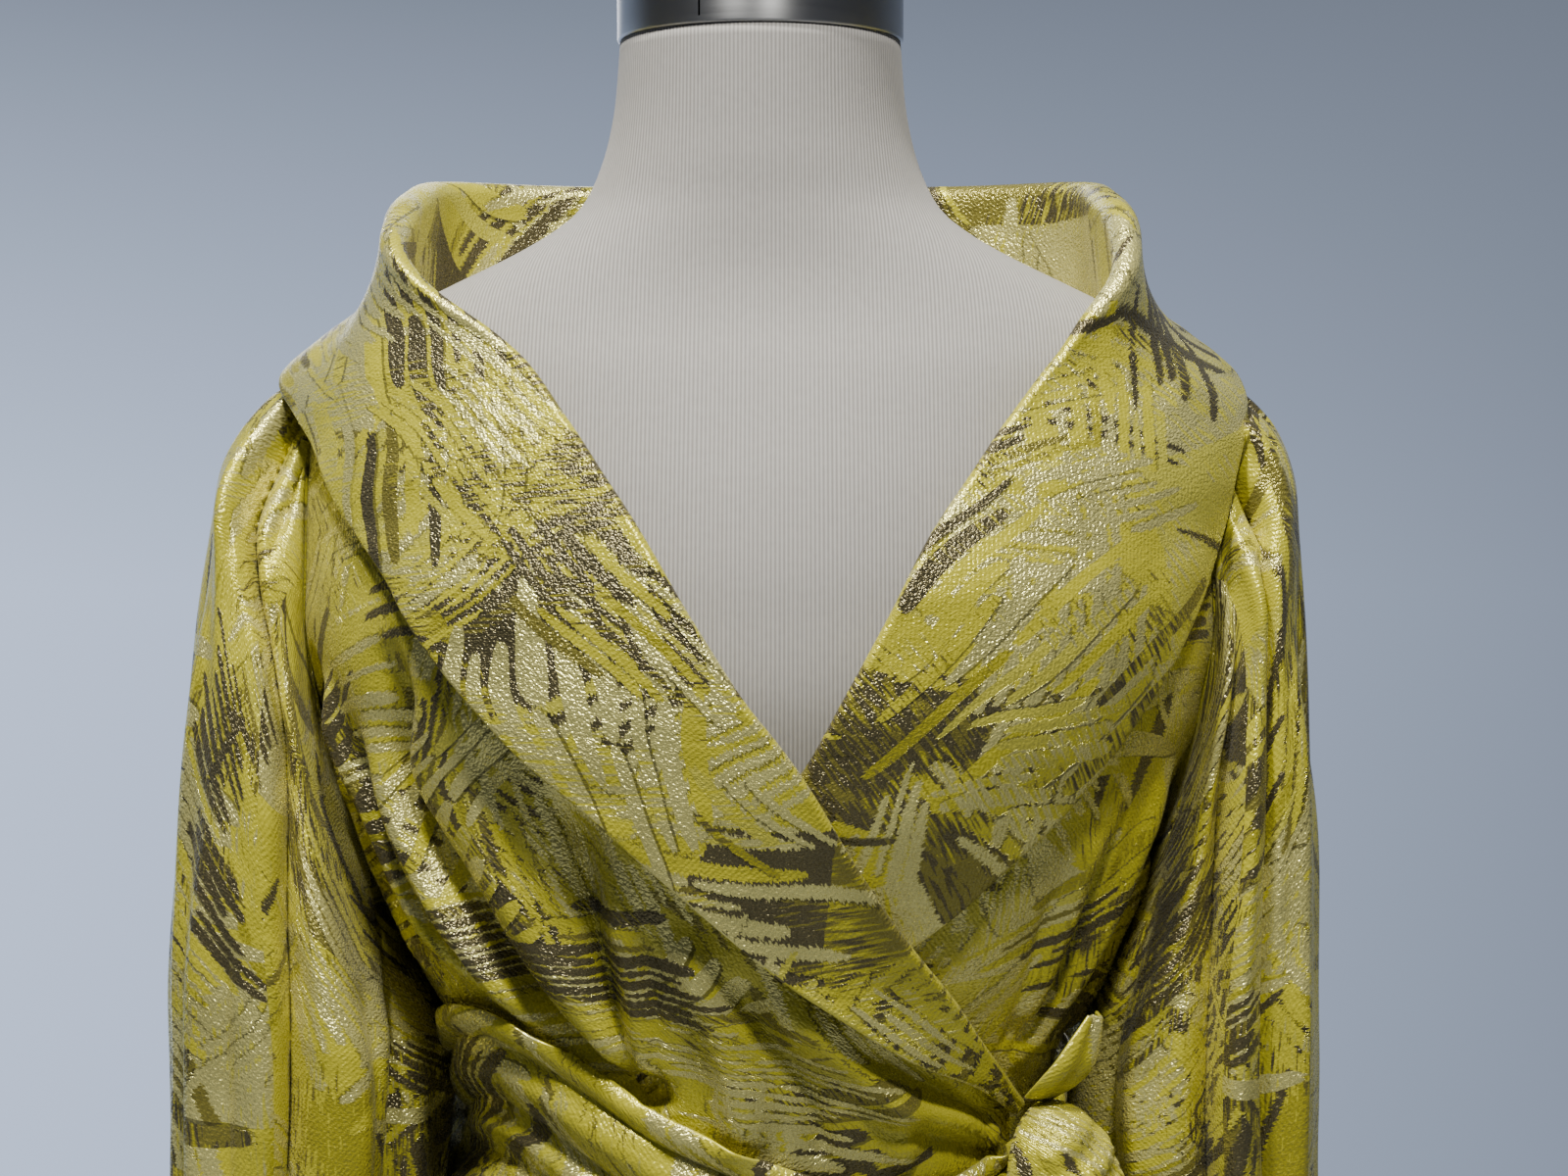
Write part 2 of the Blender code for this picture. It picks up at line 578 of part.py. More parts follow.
def collar_seam(rows):
    """The neckline seam as a function: 0 at the collar's tip and 1 at the middle of the back."""

    def at(share):
        row = table_at(rows, share * (len(rows) - 1))
        return row.seam_deg, row.seam_z

    return at


def neck_row(rows):
    """The row number at which a collar's seam crosses the shoulder seam."""
    return place_of([(abs(row.seam_deg),) for row in rows[3:]], 0, 90.0) + 3


def closer_rows(v, power):
    """An even share up a panel, changed so that the rows lie closer together at the shoulder."""
    return 1 - (1 - v) ** power


def build_back(material, collection):
    """The back of the bodice, from side seam to side seam, in one piece."""
    across, along = BACK_CELLS
    halves = []
    for side, rows in ((1, UNDER_COLLAR), (-1, OVER_COLLAR)):
        seam, cross = collar_seam(rows), neck_row(rows) / (len(rows) - 1)
        trim = degrees_for(SEAM_GAP)

        def top(u, side=side, seam=seam, cross=cross):
            shoulder_share = 0.38
            if u < shoulder_share:
                neck = seam(cross)[1]
                return side * (90.0 + trim), mix(SHOULDER_TIP_Z, neck, u / shoulder_share)
            deg, z = seam(mix(cross, 1.0, (u - shoulder_share) / (1 - shoulder_share)))
            return deg, z

        def bottom(u, side=side):
            return side * mix(90.0 + trim, 180.0, u), WAIST_Z

        def left(v, side=side):
            deg, z = side_edge(v, side, front=False)
            return deg + side * trim, z

        def right(v, side=side, seam=seam):
            return side * 180.0, mix(WAIST_Z, seam(1.0)[1], v)

        halves.append(patch(bottom, top, left, right))

    def at(u, v):
        half = 0 if u < 0.5 else 1
        place = u * 2 if half == 0 else (1 - u) * 2
        deg, z = halves[half](place, closer_rows(v, 1.5))
        return bodice_point(deg, z, 0.0, BACK_FOLDS)

    return cloth(
        "bodice_back", grid_points(across, along, at), across, along, BODY_WALL, material, collection,
    )


def degrees_for(distance):
    """The azimuth step that covers a distance at the bodice's side."""
    return distance / 0.15 * 180 / pi


def front_patch(side, rows, waist_deg):
    """The (azimuth, height) surface of a front: side edge at u = 0, neckline at u = 1."""
    seam = collar_seam(rows)
    cross = neck_row(rows) / (len(rows) - 1)
    trim = degrees_for(SEAM_GAP)
    waist_share = 0.07

    def left(v):
        deg, z = side_edge(v, side, front=True)
        return deg - side * trim, z

    def right(v):
        if v < waist_share:
            deg, z = seam(0.0)
            return mix(waist_deg, deg, v / waist_share), mix(WAIST_Z, z, v / waist_share)
        return seam(cross * (v - waist_share) / (1 - waist_share))

    def bottom(u):
        return mix(side * (90.0 - trim), waist_deg, u), WAIST_Z

    def top(u):
        return side * (90.0 - trim), mix(SHOULDER_TIP_Z, seam(cross)[1], u)

    return patch(bottom, top, left, right)


def build_front(name, side, rows, waist_deg, rise, folds, material, collection):
    """One front of the bodice."""
    across, along = FRONT_CELLS
    place = front_patch(side, rows, waist_deg)

    def at(u, v):
        deg, z = place(u, closer_rows(v, 1.25))
        return bodice_point(deg, z, rise(deg), folds)

    return cloth(
        name, grid_points(across, along, at), across, along, BODY_WALL, material, collection,
        flip=side > 0,
    )


def collar_section(row, tangent, rise, folds):
    """The points across a collar at one place: stand, roll and leaf."""
    clear = BODY_WALL / 2

    def ground(deg, z):
        return bodice_point(deg, z, rise(deg) + clear, folds)

    seam = ground(row.seam_deg, row.seam_z)
    base = ground(row.roll_deg, row.roll_z)
    normal = body_normal(BODICE_SECTIONS, row.roll_deg, row.roll_z)
    up = normal.lerp(Vector((0, 0, 1)), row.upright).normalized()
    centre = base + up * row.rise
    tip = centre - seam
    tip = (tip - tangent * tip.dot(tangent)).normalized()
    out = tip.cross(tangent).normalized()
    if out.dot(normal) < 0:
        out = -out
    if row.rise > 0.02:
        away = Vector((centre.x, centre.y, 0.0)).normalized()
        out = out if out.dot(away) > 0 else -out
    standing = smooth((row.rise - 0.004) / 0.030)
    radius = mix(ROLL_RADIUS_FLAT, ROLL_RADIUS_STANDING, standing)
    points = []
    stand_end = centre - out * radius
    along = (stand_end - seam).normalized()
    steep = abs(along.dot(body_normal(BODICE_SECTIONS, row.seam_deg, row.seam_z)))
    stand_start = seam + along * (COLLAR_SEAM_GAP + BODY_WALL / 2 * steep)
    for i in range(COLLAR_STAND_CELLS):
        points.append(stand_start.lerp(stand_end, i / COLLAR_STAND_CELLS))
    for i in range(COLLAR_ROLL_CELLS + 1):
        a = -pi / 2 + pi * i / COLLAR_ROLL_CELLS
        points.append(centre + tip * (radius * cos(a)) + out * (radius * sin(a)))
    gap = points[-1] - (base + normal * LEAF_LIFT)
    for i in range(1, COLLAR_LEAF_CELLS + 1):
        t = (i / COLLAR_LEAF_CELLS) ** mix(1.0, 1.25, standing)
        deg, z = mix(row.roll_deg, row.edge_deg, t), mix(row.roll_z, row.edge_z, t)
        lift = mix(LEAF_LIFT, row.edge_lift, t ** mix(1.5, 3.0, standing))
        rest = ground(deg, z) + body_normal(BODICE_SECTIONS, deg, z) * lift
        points.append(rest + gap * (1 - t) ** (1 + 6 * standing))
    return points


def build_collar(name, rows, rise, folds, flip, material, collection):
    """Half of the shawl collar, from its front tip to the middle of the back."""
    along = COLLAR_CELLS_ALONG
    last = len(rows) - 1
    points = []
    for j in range(along + 1):
        share = min(j / along, 1 - SEAM_GAP)
        row = table_at(rows, share * last)
        step = 0.02
        ends = [table_at(rows, share * last + k * step * last) for k in (-1, 1)]
        spots = [bodice_point(end.roll_deg, end.roll_z, end.rise) for end in ends]
        tangent = (spots[1] - spots[0]).normalized()
        section = collar_section(row, tangent, rise, folds)
        if j == along:
            half_gap = SEAM_GAP / 2 + 0.0001
            middle = half_gap if rows[-1].roll_deg > 0 else -half_gap
            section = [Vector((middle, p.y, p.z)) for p in section]
        points += section
    across = COLLAR_STAND_CELLS + COLLAR_ROLL_CELLS + COLLAR_LEAF_CELLS
    return cloth(
        name, points, across, along, COLLAR_WALL, material, collection, flip=flip, offset=0.0
    )


def sleeve_point(side, folds, turn, share):
    """A point of a sleeve: turn goes round it from the front, share from the armhole to the cuff."""
    place = share * (len(SLEEVE_ROWS) - 1)
    row = table_at(SLEEVE_ROWS, place)
    a = radians(turn)
    is_left = side > 0
    trim = LEFT_SLEEVE_TRIM * smooth((share - 0.15) / 0.45) * is_left
    back = LEFT_SLEEVE_BACK * smooth(share / 0.4) * smooth((1 - share) / 0.3) * is_left
    centre_y = row.centre_y + back
    outer = Vector((side * (row.outer_x - trim), centre_y, row.outer_z))
    inner = Vector((side * row.inner_x, centre_y, row.inner_z))
    arm = (outer - inner) / 2
    front = Vector((0.0, -row.half_depth, 0.0))
    out = (arm.normalized() * sin(a) * row.half_depth + front.normalized() * cos(a) * arm.length)
    out.normalize()
    lift = 0.0
    for fold in folds:
        length = min(1.0, max(0.0, (share - fold.start) / (fold.end - fold.start)))
        off = (turn - mix(fold.deg, fold.end_deg, length) + 180.0) % 360.0 - 180.0
        fade = smooth((share - fold.start) / 0.12) * smooth((fold.end - share) / 0.14)
        lift += fold.height * fade * exp(-((off / fold.half_deg) ** 2))
    gather = CUFF_GATHER_HEIGHT * smooth((share - 0.78) / 0.12) * smooth((1.0 - share) / 0.05)
    lift += gather * cos(CUFF_GATHERS * a)
    ring = (outer + inner) / 2 + arm * sin(a) + front * cos(a) + out * lift
    off = (turn - TUCK_DEG + 180.0) % 360.0 - 180.0
    tuck = TUCK_DEPTH * exp(-((off / TUCK_HALF_DEG) ** 2))
    start = LEFT_TUCK_START if is_left else RIGHT_TUCK_START
    ring.x -= side * tuck * smooth((share - start) / 0.14) * smooth((TUCK_END - share) / 0.16)
    blend = smooth(place / ARMHOLE_BLEND_ROWS)
    if blend >= 1.0:
        return ring
    deg, z = armhole_place(turn, side)
    deg += side * ARMHOLE_TURN_IN * cos(a)
    edge = bodice_point(deg, z, BODY_WALL + LAP_CLEARANCE)
    return edge.lerp(ring, blend)


def build_sleeve(name, side, folds, material, collection):
    """One full sleeve, a tube from the armhole to the cuff."""
    across, along = SLEEVE_CELLS

    def at(u, v):
        return sleeve_point(side, folds, 360.0 * u, v)

    return cloth(
        name, grid_points(across, along, at, closed=True), across, along, SLEEVE_WALL, material,
        collection, closed=True, flip=side > 0,
    )


def build_cuff(name, side, material, collection):
    """One cuff, a plain band that the sleeve's end is gathered into."""
    across, along = CUFF_CELLS

    def at(u, v):
        a = 2 * pi * u
        return Vector((
            side * CUFF_CENTRE_X + CUFF_HALF_WIDTH * sin(a),
            CUFF_CENTRE_Y - CUFF_HALF_DEPTH * cos(a),
            mix(CUFF_TOP_Z, CUFF_BOTTOM_Z, v),
        ))

    return cloth(
        name, grid_points(across, along, at, closed=True), across, along, CUFF_WALL, material,
        collection, closed=True, flip=True,
    )


def skirt_point(deg, z, rise=0.0):
    """A point of the skirt, with its flutes."""
    share = smooth((WAIST_Z - z) / (WAIST_Z - HEM_Z))
    flute = FLUTE_AT_HEM * share * (1 + cos(radians(FLUTES * deg))) / 2
    normal = body_normal(SKIRT_SECTIONS, deg, max(z, 0.01))
    level = Vector((normal.x, normal.y, 0.0)).normalized()
    return body_point(SKIRT_SECTIONS, deg, z) + level * (rise + flute)


def build_skirt_panel(name, start_deg, end_deg, rise, material, collection):
    """One panel of the skirt from the waist to the hem, its columns on the skirt's common spacing."""
    trim = degrees_for(SEAM_GAP)
    count = round((end_deg - start_deg) / FLUTE_COLUMN_DEG)
    degs = [start_deg + FLUTE_COLUMN_DEG * i for i in range(count + 1)]
    degs[0] += trim
    degs[-1] -= trim
    points = []
    for j in range(SKIRT_CELLS_DOWN + 1):
        z = mix(WAIST_Z - WAIST_SEAM_GAP, HEM_Z, (j / SKIRT_CELLS_DOWN) ** 1.15)
        points += [skirt_point(deg, z, rise(deg, z)) for deg in degs]
    return cloth(
        name, points, count, SKIRT_CELLS_DOWN, BODY_WALL, material, collection, flip=True,
    )


def sash_ground(deg, z):
    """The outermost cloth under the sash at one place."""
    turn = (deg + 180.0) % 360.0 - 180.0
    over = over_rise(turn) * (1 - smooth((turn - 62.0) / 16.0))
    sections = BODICE_SECTIONS if z > WAIST_Z else SKIRT_SECTIONS
    folds = OVER_FOLDS if turn < 62.0 else UNDER_FOLDS
    lift = over + BODY_WALL + fold_height(folds if abs(turn) < 90 else BACK_FOLDS, turn, z)
    return body_point(sections, deg, z) + body_normal(BODICE_SECTIONS, deg, 1.09) * lift


def sash_point(u, v):
    """A point of the sash: u goes round the body and v from its top edge to its bottom edge."""
    first, last = SASH_ROWS[0].deg, SASH_ROWS[-1].deg
    deg = mix(first, last, u)
    row = table_at(SASH_ROWS, place_of(SASH_ROWS, 0, deg))
    z = mix(row.top_z, row.bottom_z, v)
    reach = max(sash_ground(deg, z + dz).xy.length for dz in (-0.006, 0.0, 0.006))
    radial = body_point(BODICE_SECTIONS, deg, WAIST_Z).xy.normalized()
    pleat = SASH_PLEAT_HEIGHT * (1 - cos(2 * pi * SASH_PLEATS * v)) / 2
    edge_fade = smooth(v * 8) * smooth((1 - v) * 8)
    reach += SASH_CLEARANCE + pleat * mix(0.35, 1.0, edge_fade)
    return Vector((radial.x * reach, radial.y * reach, z))


def build_sash(material, collection):
    """The band of the sash round the waist, open behind its knot."""
    across, along = SASH_CELLS
    return cloth(
        "sash_band", grid_points(across, along, sash_point), across, along, SASH_WALL, material,
        collection, flip=True,
    )


def build_knot(material, collection):
    """The knot, a wrapped lump of cloth on the front of the sash."""
    out = body_normal(BODICE_SECTIONS, KNOT_DEG, WAIST_Z)
    out = Vector((out.x, out.y, 0.0)).normalized()
    sideways = Vector((out.y, -out.x, 0.0))
    seat = 0.0
    for dz in range(-7, 8):
        for dd in range(-4, 5):
            spot = sash_point(sash_share(KNOT_DEG - 2 + dd * 1.5), 0.5 + dz * 0.07)
            seat = max(seat, spot.dot(out))
    seat += SASH_WALL - 0.0004
    centre = out * seat + sideways * body_point(BODICE_SECTIONS, KNOT_DEG, KNOT_Z).dot(sideways)
    centre.z = KNOT_Z
    bm = bmesh.new()
    bmesh.ops.create_uvsphere(bm, u_segments=16, v_segments=10, radius=1.0)
    for vert in bm.verts:
        across, up, deep = vert.co.x, vert.co.z, vert.co.y
        wrap = 1 + KNOT_WRAP_HEIGHT / KNOT_DEPTH * cos(KNOT_WRAPS * pi * (up + 0.35 * across))
        bulge = KNOT_DEPTH * (max(deep, -0.05) + 0.05) / 1.05 * wrap
        pinch = 1 - 0.18 * (1 - up * up) * (across > 0)
        vert.co = (
            centre + sideways * (KNOT_HALF_WIDTH * across * pinch)
            + Vector((0, 0, KNOT_HALF_HEIGHT * up)) + out * bulge
        )
    mesh = bpy.data.meshes.new("sash_knot")
    bm.to_mesh(mesh)
    bm.free()
    knot = bpy.data.objects.new("sash_knot", mesh)
    collection.objects.link(knot)
    mesh.materials.append(material)
    mesh.shade_smooth()
    return knot


def sash_share(deg):
    """The place round the sash of a front azimuth, as a share of its length."""
    first, last = SASH_ROWS[0].deg, SASH_ROWS[-1].deg
    return min(1.0, (deg - first) / (last - first))


def end_point(rows, u, v):
    """A point of a sash end: u across it and v from the knot to its free end."""
    row = table_at(rows, v * (len(rows) - 1))
    half_deg = row.half_width / 0.13 * 180 / pi
    if row.z < 0.98:
        half_deg *= 0.13 / body_point(SKIRT_SECTIONS, row.deg, row.z).xy.length
    deg = row.deg + half_deg * (2 * u - 1)
    lift = row.lift + row.cup * (1 - (2 * u - 1) ** 2)
    if row.z > WAIST_Z:
        return bodice_point(deg, row.z, lift)
    return skirt_point(deg, row.z, lift)


def build_end(name, rows, material, collection):
    """One loose end of the sash."""
    across, along = END_CELLS

    def at(u, v):
        return end_point(rows, u, v)

    rising = rows[-1].z > rows[0].z
    return cloth(
        name, grid_points(across, along, at), across, along, SASH_WALL, material, collection,
        flip=not rising,
    )


def main():
    for thing in list(bpy.data.objects):
        bpy.data.objects.remove(thing)
    collection = bpy.data.collections.new("evening_gown_on_dress_form")
    bpy.context.scene.collection.children.link(collection)
    brocade = finish_material("brocade", BROCADE)
    linen = finish_material("linen_cover", LINEN)
    steel = finish_material("brushed_steel", BRUSHED_STEEL)
    enamel = finish_material("black_enamel", BLACK_ENAMEL)

    build_form(linen, collection)
    build_stand(steel, enamel, collection)

    def no_rise(deg, z=0.0):
        return 0.0

    def skirt_over_rise(deg, z):
        return over_rise(deg) * mix(SKIRT_OVERLAP_SHARE, 1.0, smooth((z - 0.90) / (WAIST_Z - 0.90)))

    build_back(brocade, collection)
    build_front("bodice_front_over", -1, OVER_COLLAR, 52.0, over_rise, OVER_FOLDS, brocade, collection)
    build_front("bodice_front_under", 1, UNDER_COLLAR, -40.0, no_rise, UNDER_FOLDS, brocade, collection)
    build_collar("collar_over", OVER_COLLAR, over_rise, OVER_FOLDS, False, brocade, collection)
    build_collar("collar_under", UNDER_COLLAR, no_rise, UNDER_FOLDS, True, brocade, collection)
    build_sleeve("sleeve_right", -1, RIGHT_SLEEVE_FOLDS, brocade, collection)
    build_sleeve("sleeve_left", 1, LEFT_SLEEVE_FOLDS, brocade, collection)
    build_cuff("cuff_right", -1, brocade, collection)
    build_cuff("cuff_left", 1, brocade, collection)
    build_skirt_panel("skirt_back", 90.0, 270.0, no_rise, brocade, collection)
    build_skirt_panel("skirt_front_over", -90.0, 48.0, skirt_over_rise, brocade, collection)
    build_skirt_panel("skirt_front_under", -42.0, 90.0, no_rise, brocade, collection)
    build_sash(brocade, collection)
    build_knot(brocade, collection)
    build_end("sash_upper_end", UPPER_END, brocade, collection)
    build_end("sash_long_tail", LONG_TAIL, brocade, collection)
    build_end("sash_short_tail", SHORT_TAIL, brocade, collection)


main()
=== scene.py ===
"""Looks of an evening gown on a dress form: metallic jacquard cloth, ribbed form cover, metal cap and stand.

Units are metres, +Z is up, the gown faces -Y and the wearer's left is +X. Azimuths are degrees round the
body from the front, positive towards +X. "Over" is the wearer's right front, which wraps over the other.
Cloth is made as grids of points worked out from tables of sections and creases, each given a thin wall.
"""

import logging
from dataclasses import dataclass
from enum import Enum
from functools import partial
from math import cos, pi, radians, sin, tan
from typing import Callable, NamedTuple, Sequence

import bpy
import numpy as np
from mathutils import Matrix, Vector


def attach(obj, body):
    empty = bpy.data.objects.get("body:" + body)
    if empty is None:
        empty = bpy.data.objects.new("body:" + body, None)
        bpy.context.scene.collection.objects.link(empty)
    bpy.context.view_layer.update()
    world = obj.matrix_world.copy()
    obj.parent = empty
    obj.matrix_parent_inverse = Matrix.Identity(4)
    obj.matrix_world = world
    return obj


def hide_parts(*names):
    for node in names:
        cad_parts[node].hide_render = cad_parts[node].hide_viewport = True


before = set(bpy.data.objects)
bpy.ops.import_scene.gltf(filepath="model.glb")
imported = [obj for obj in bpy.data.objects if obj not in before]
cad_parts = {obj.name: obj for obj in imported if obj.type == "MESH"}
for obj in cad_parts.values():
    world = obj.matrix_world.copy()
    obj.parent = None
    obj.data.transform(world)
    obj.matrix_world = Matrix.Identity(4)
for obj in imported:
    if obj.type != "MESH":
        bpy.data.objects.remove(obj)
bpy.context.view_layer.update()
BODY = "root"
LOG = logging.getLogger("gown")

Array = np.ndarray
Adder = Callable[..., bpy.types.Node]


# Small sums


def smooth(x: Array | float) -> Array:
    """Returns 0 below 0, 1 above 1, and an eased step between."""
    x = np.clip(x, 0.0, 1.0)
    return x * x * (3 - 2 * x)


def mix(a: Array | float, b: Array | float, t: Array | float) -> Array:
    """Returns the value a share t of the way from a to b."""
    return a + (b - a) * t


def dot(a: Array, b: Array) -> Array:
    """Returns the dot products of two arrays of vectors, kept as a last axis of one."""
    return (a * b).sum(-1, keepdims=True)


def unit(v: Array) -> Array:
    """Returns vectors at length one."""
    return v / np.maximum(np.linalg.norm(v, axis=-1, keepdims=True), 1e-12)


def bell(x: Array) -> Array:
    """Returns a rounded bump, 1 at 0 and near 0 from 2 on."""
    return np.exp(-x * x)


def monotone(xs: Array, ys: Array, x: Array) -> Array:
    """Reads a smooth curve through points, with no overshoot between them.

    Args:
        xs: rising places of the points.
        ys: values at those places.
        x: places to read, held inside the range of xs.

    Returns:
        The curve's values at x.
    """
    step = np.diff(xs)
    slope = np.diff(ys) / step
    tilt = np.zeros_like(ys)
    tilt[0], tilt[-1] = slope[0], slope[-1]
    same = slope[:-1] * slope[1:] > 0
    before, after = slope[:-1][same], slope[1:][same]
    w1, w2 = (2 * step[1:] + step[:-1])[same], (step[1:] + 2 * step[:-1])[same]
    tilt[1:-1][same] = (w1 + w2) / (w1 / before + w2 / after)
    x = np.clip(x, xs[0], xs[-1])
    i = np.clip(np.searchsorted(xs, x, side="right") - 1, 0, len(xs) - 2)
    t, h = (x - xs[i]) / step[i], step[i]
    bend = 3 * (ys[i + 1] - ys[i]) - h * (2 * tilt[i] + tilt[i + 1])
    close = 2 * (ys[i] - ys[i + 1]) + h * (tilt[i] + tilt[i + 1])
    return ys[i] + t * (h * tilt[i] + t * (bend + t * close))


def catmull(points: Array, place: Array) -> Array:
    """Reads a smooth curve through points at fractional numbers of them.

    Args:
        points: one point a row.
        place: point numbers, of any shape.

    Returns:
        The points there, along a last axis.
    """
    last = len(points) - 1
    place = np.clip(np.asarray(place, dtype=float), 0.0, last)
    i = np.minimum(place.astype(int), last - 1)
    t = (place - i)[..., None]
    p, a, b, n = (points[np.clip(i + k, 0, last)] for k in (-1, 0, 1, 2))
    start, end = (b - p) / 2, (n - a) / 2
    return a + t * (start + t * (3 * (b - a) - 2 * start - end + t * (2 * (a - b) + start + end)))


def rows_of(kind: type, *rows: Sequence) -> tuple:
    """Returns a table with named columns from bare rows."""
    return tuple(kind(*row) for row in rows)


def read_table(rows: Sequence[NamedTuple], place: Array | float) -> NamedTuple:
    """Reads a table at fractional row numbers, on a smooth curve through its rows.

    Args:
        rows: the table, one named tuple a row.
        place: row numbers, of any shape.

    Returns:
        A row of the same kind whose fields are arrays shaped like place.
    """
    return type(rows[0])(*np.moveaxis(catmull(np.array(rows, dtype=float), place), -1, 0))


def rumple(x: Array, y: Array, cell: float, seed: float) -> Array:
    """Sums a few crossing waves into an uneven, soft unevenness.

    Args:
        x: places across, in metres.
        y: places along, in metres.
        cell: rough distance between bumps, in metres.
        seed: shifts the waves, so that no two pieces are alike.

    Returns:
        Heights of about -1 to 1.
    """
    golden_turn, total = 2.39996, 0.0
    for k in range(6):
        turn, pitch = golden_turn * (k + 1) + seed, cell * (0.75 + 0.13 * k)
        along = x * cos(turn) + y * sin(turn)
        across = y * cos(turn) - x * sin(turn)
        bend = 0.9 * np.sin(across / pitch * 1.7 + seed * (k + 2))
        total = total + np.sin(2 * pi * along / pitch + bend + seed * 3.1 * k)
    return total / 3.2


# Body shapes


class Section(NamedTuple):
    """A level section of a body: half width, and depth in front of and behind its axis."""

    z: float
    half_width: float
    front: float
    back: float


@dataclass(frozen=True)
class BodyShape:
    """A smooth upright body through level sections."""

    rows: tuple[Section, ...]

    def point(self, deg: Array, z: Array) -> Array:
        """Returns points of the body's outline at azimuths and heights."""
        table = np.array(self.rows)
        half_width, front, back = (monotone(table[:, 0], table[:, k], z) for k in (1, 2, 3))
        turn = np.radians(deg)
        depth = np.where(np.cos(turn) > 0, front, back)
        return np.stack([half_width * np.sin(turn), -depth * np.cos(turn), z + 0 * turn], axis=-1)

    def normal(self, deg: Array, z: Array) -> Array:
        """Returns directions square to the body there, pointing out."""
        step = 0.006
        around = self.point(deg + 1.0, z) - self.point(deg - 1.0, z)
        up = self.point(deg, z + step) - self.point(deg, z - step)
        return unit(np.cross(around, up))


FORM_BOTTOM_Z, NECK_TOP_Z = 0.800, 1.518
NECK_TILT = 4.5
FORM = BodyShape(rows_of(
    Section,
    (FORM_BOTTOM_Z, 0.15, 0.108, 0.12), (0.86, 0.158, 0.113, 0.128), (0.92, 0.154, 0.11, 0.122),
    (0.98, 0.136, 0.102, 0.104), (1.05, 0.111, 0.091, 0.087), (1.1, 0.113, 0.096, 0.089),
    (1.15, 0.125, 0.106, 0.096), (1.2, 0.143, 0.116, 0.103), (1.24, 0.153, 0.12, 0.108),
    (1.28, 0.16, 0.115, 0.112), (1.32, 0.168, 0.104, 0.11), (1.35, 0.176, 0.092, 0.104),
    (1.375, 0.1825, 0.081, 0.094), (1.39, 0.174, 0.0735, 0.0855), (1.402, 0.155, 0.069, 0.0795),
    (1.414, 0.131, 0.066, 0.0735), (1.424, 0.11, 0.0645, 0.0695), (1.434, 0.092, 0.0635, 0.0665),
    (1.445, 0.078, 0.0625, 0.0645), (1.458, 0.0705, 0.062, 0.063), (1.475, 0.065, 0.061, 0.0615),
    (1.492, 0.062, 0.0605, 0.0605), (NECK_TOP_Z, 0.06, 0.06, 0.06),
))
BODICE = BodyShape(rows_of(
    Section,
    (1, 0.128, 0.108, 0.104), (1.03, 0.12, 0.104, 0.097), (1.056, 0.118, 0.103, 0.094),
    (1.08, 0.122, 0.105, 0.095), (1.1, 0.129, 0.107, 0.097), (1.13, 0.145, 0.113, 0.1),
    (1.155, 0.1555, 0.119, 0.103), (1.178, 0.164, 0.124, 0.107), (1.205, 0.1745, 0.129, 0.111),
    (1.236, 0.188, 0.131, 0.115), (1.277, 0.1965, 0.127, 0.118), (1.32, 0.196, 0.112, 0.115),
    (1.35, 0.192, 0.098, 0.1085), (1.375, 0.1875, 0.085, 0.101), (1.39, 0.1785, 0.077, 0.0918),
    (1.402, 0.159, 0.072, 0.0835), (1.414, 0.135, 0.069, 0.077), (1.424, 0.113, 0.067, 0.0725),
    (1.44, 0.086, 0.065, 0.0685),
))
SKIRT = BodyShape(rows_of(
    Section,
    (0, 0.368, 0.346, 0.368), (0.15, 0.335, 0.312, 0.335), (0.35, 0.287, 0.262, 0.286),
    (0.55, 0.241, 0.211, 0.237), (0.7, 0.207, 0.174, 0.199), (0.8, 0.186, 0.151, 0.175),
    (0.88, 0.171, 0.134, 0.157), (0.95, 0.153, 0.122, 0.138), (1, 0.134, 0.111, 0.119),
    (1.056, 0.118, 0.103, 0.094),
))


# Folds


class Fold(NamedTuple):
    """A soft ridge along a path, or a valley where its height is below 0.

    Places on the path are an azimuth with a height, or with a share of a sleeve's length. skew, from
    -1 to 1, narrows the side to the left of the path's direction and widens the other. It grows out of
    the cloth over the first share of its length, grow, and dies away over the last, fade.
    """

    path: tuple[tuple[float, float], ...]
    half_width: float
    height: float
    skew: float = 0.0
    grow: float = 0.25
    fade: float = 0.15


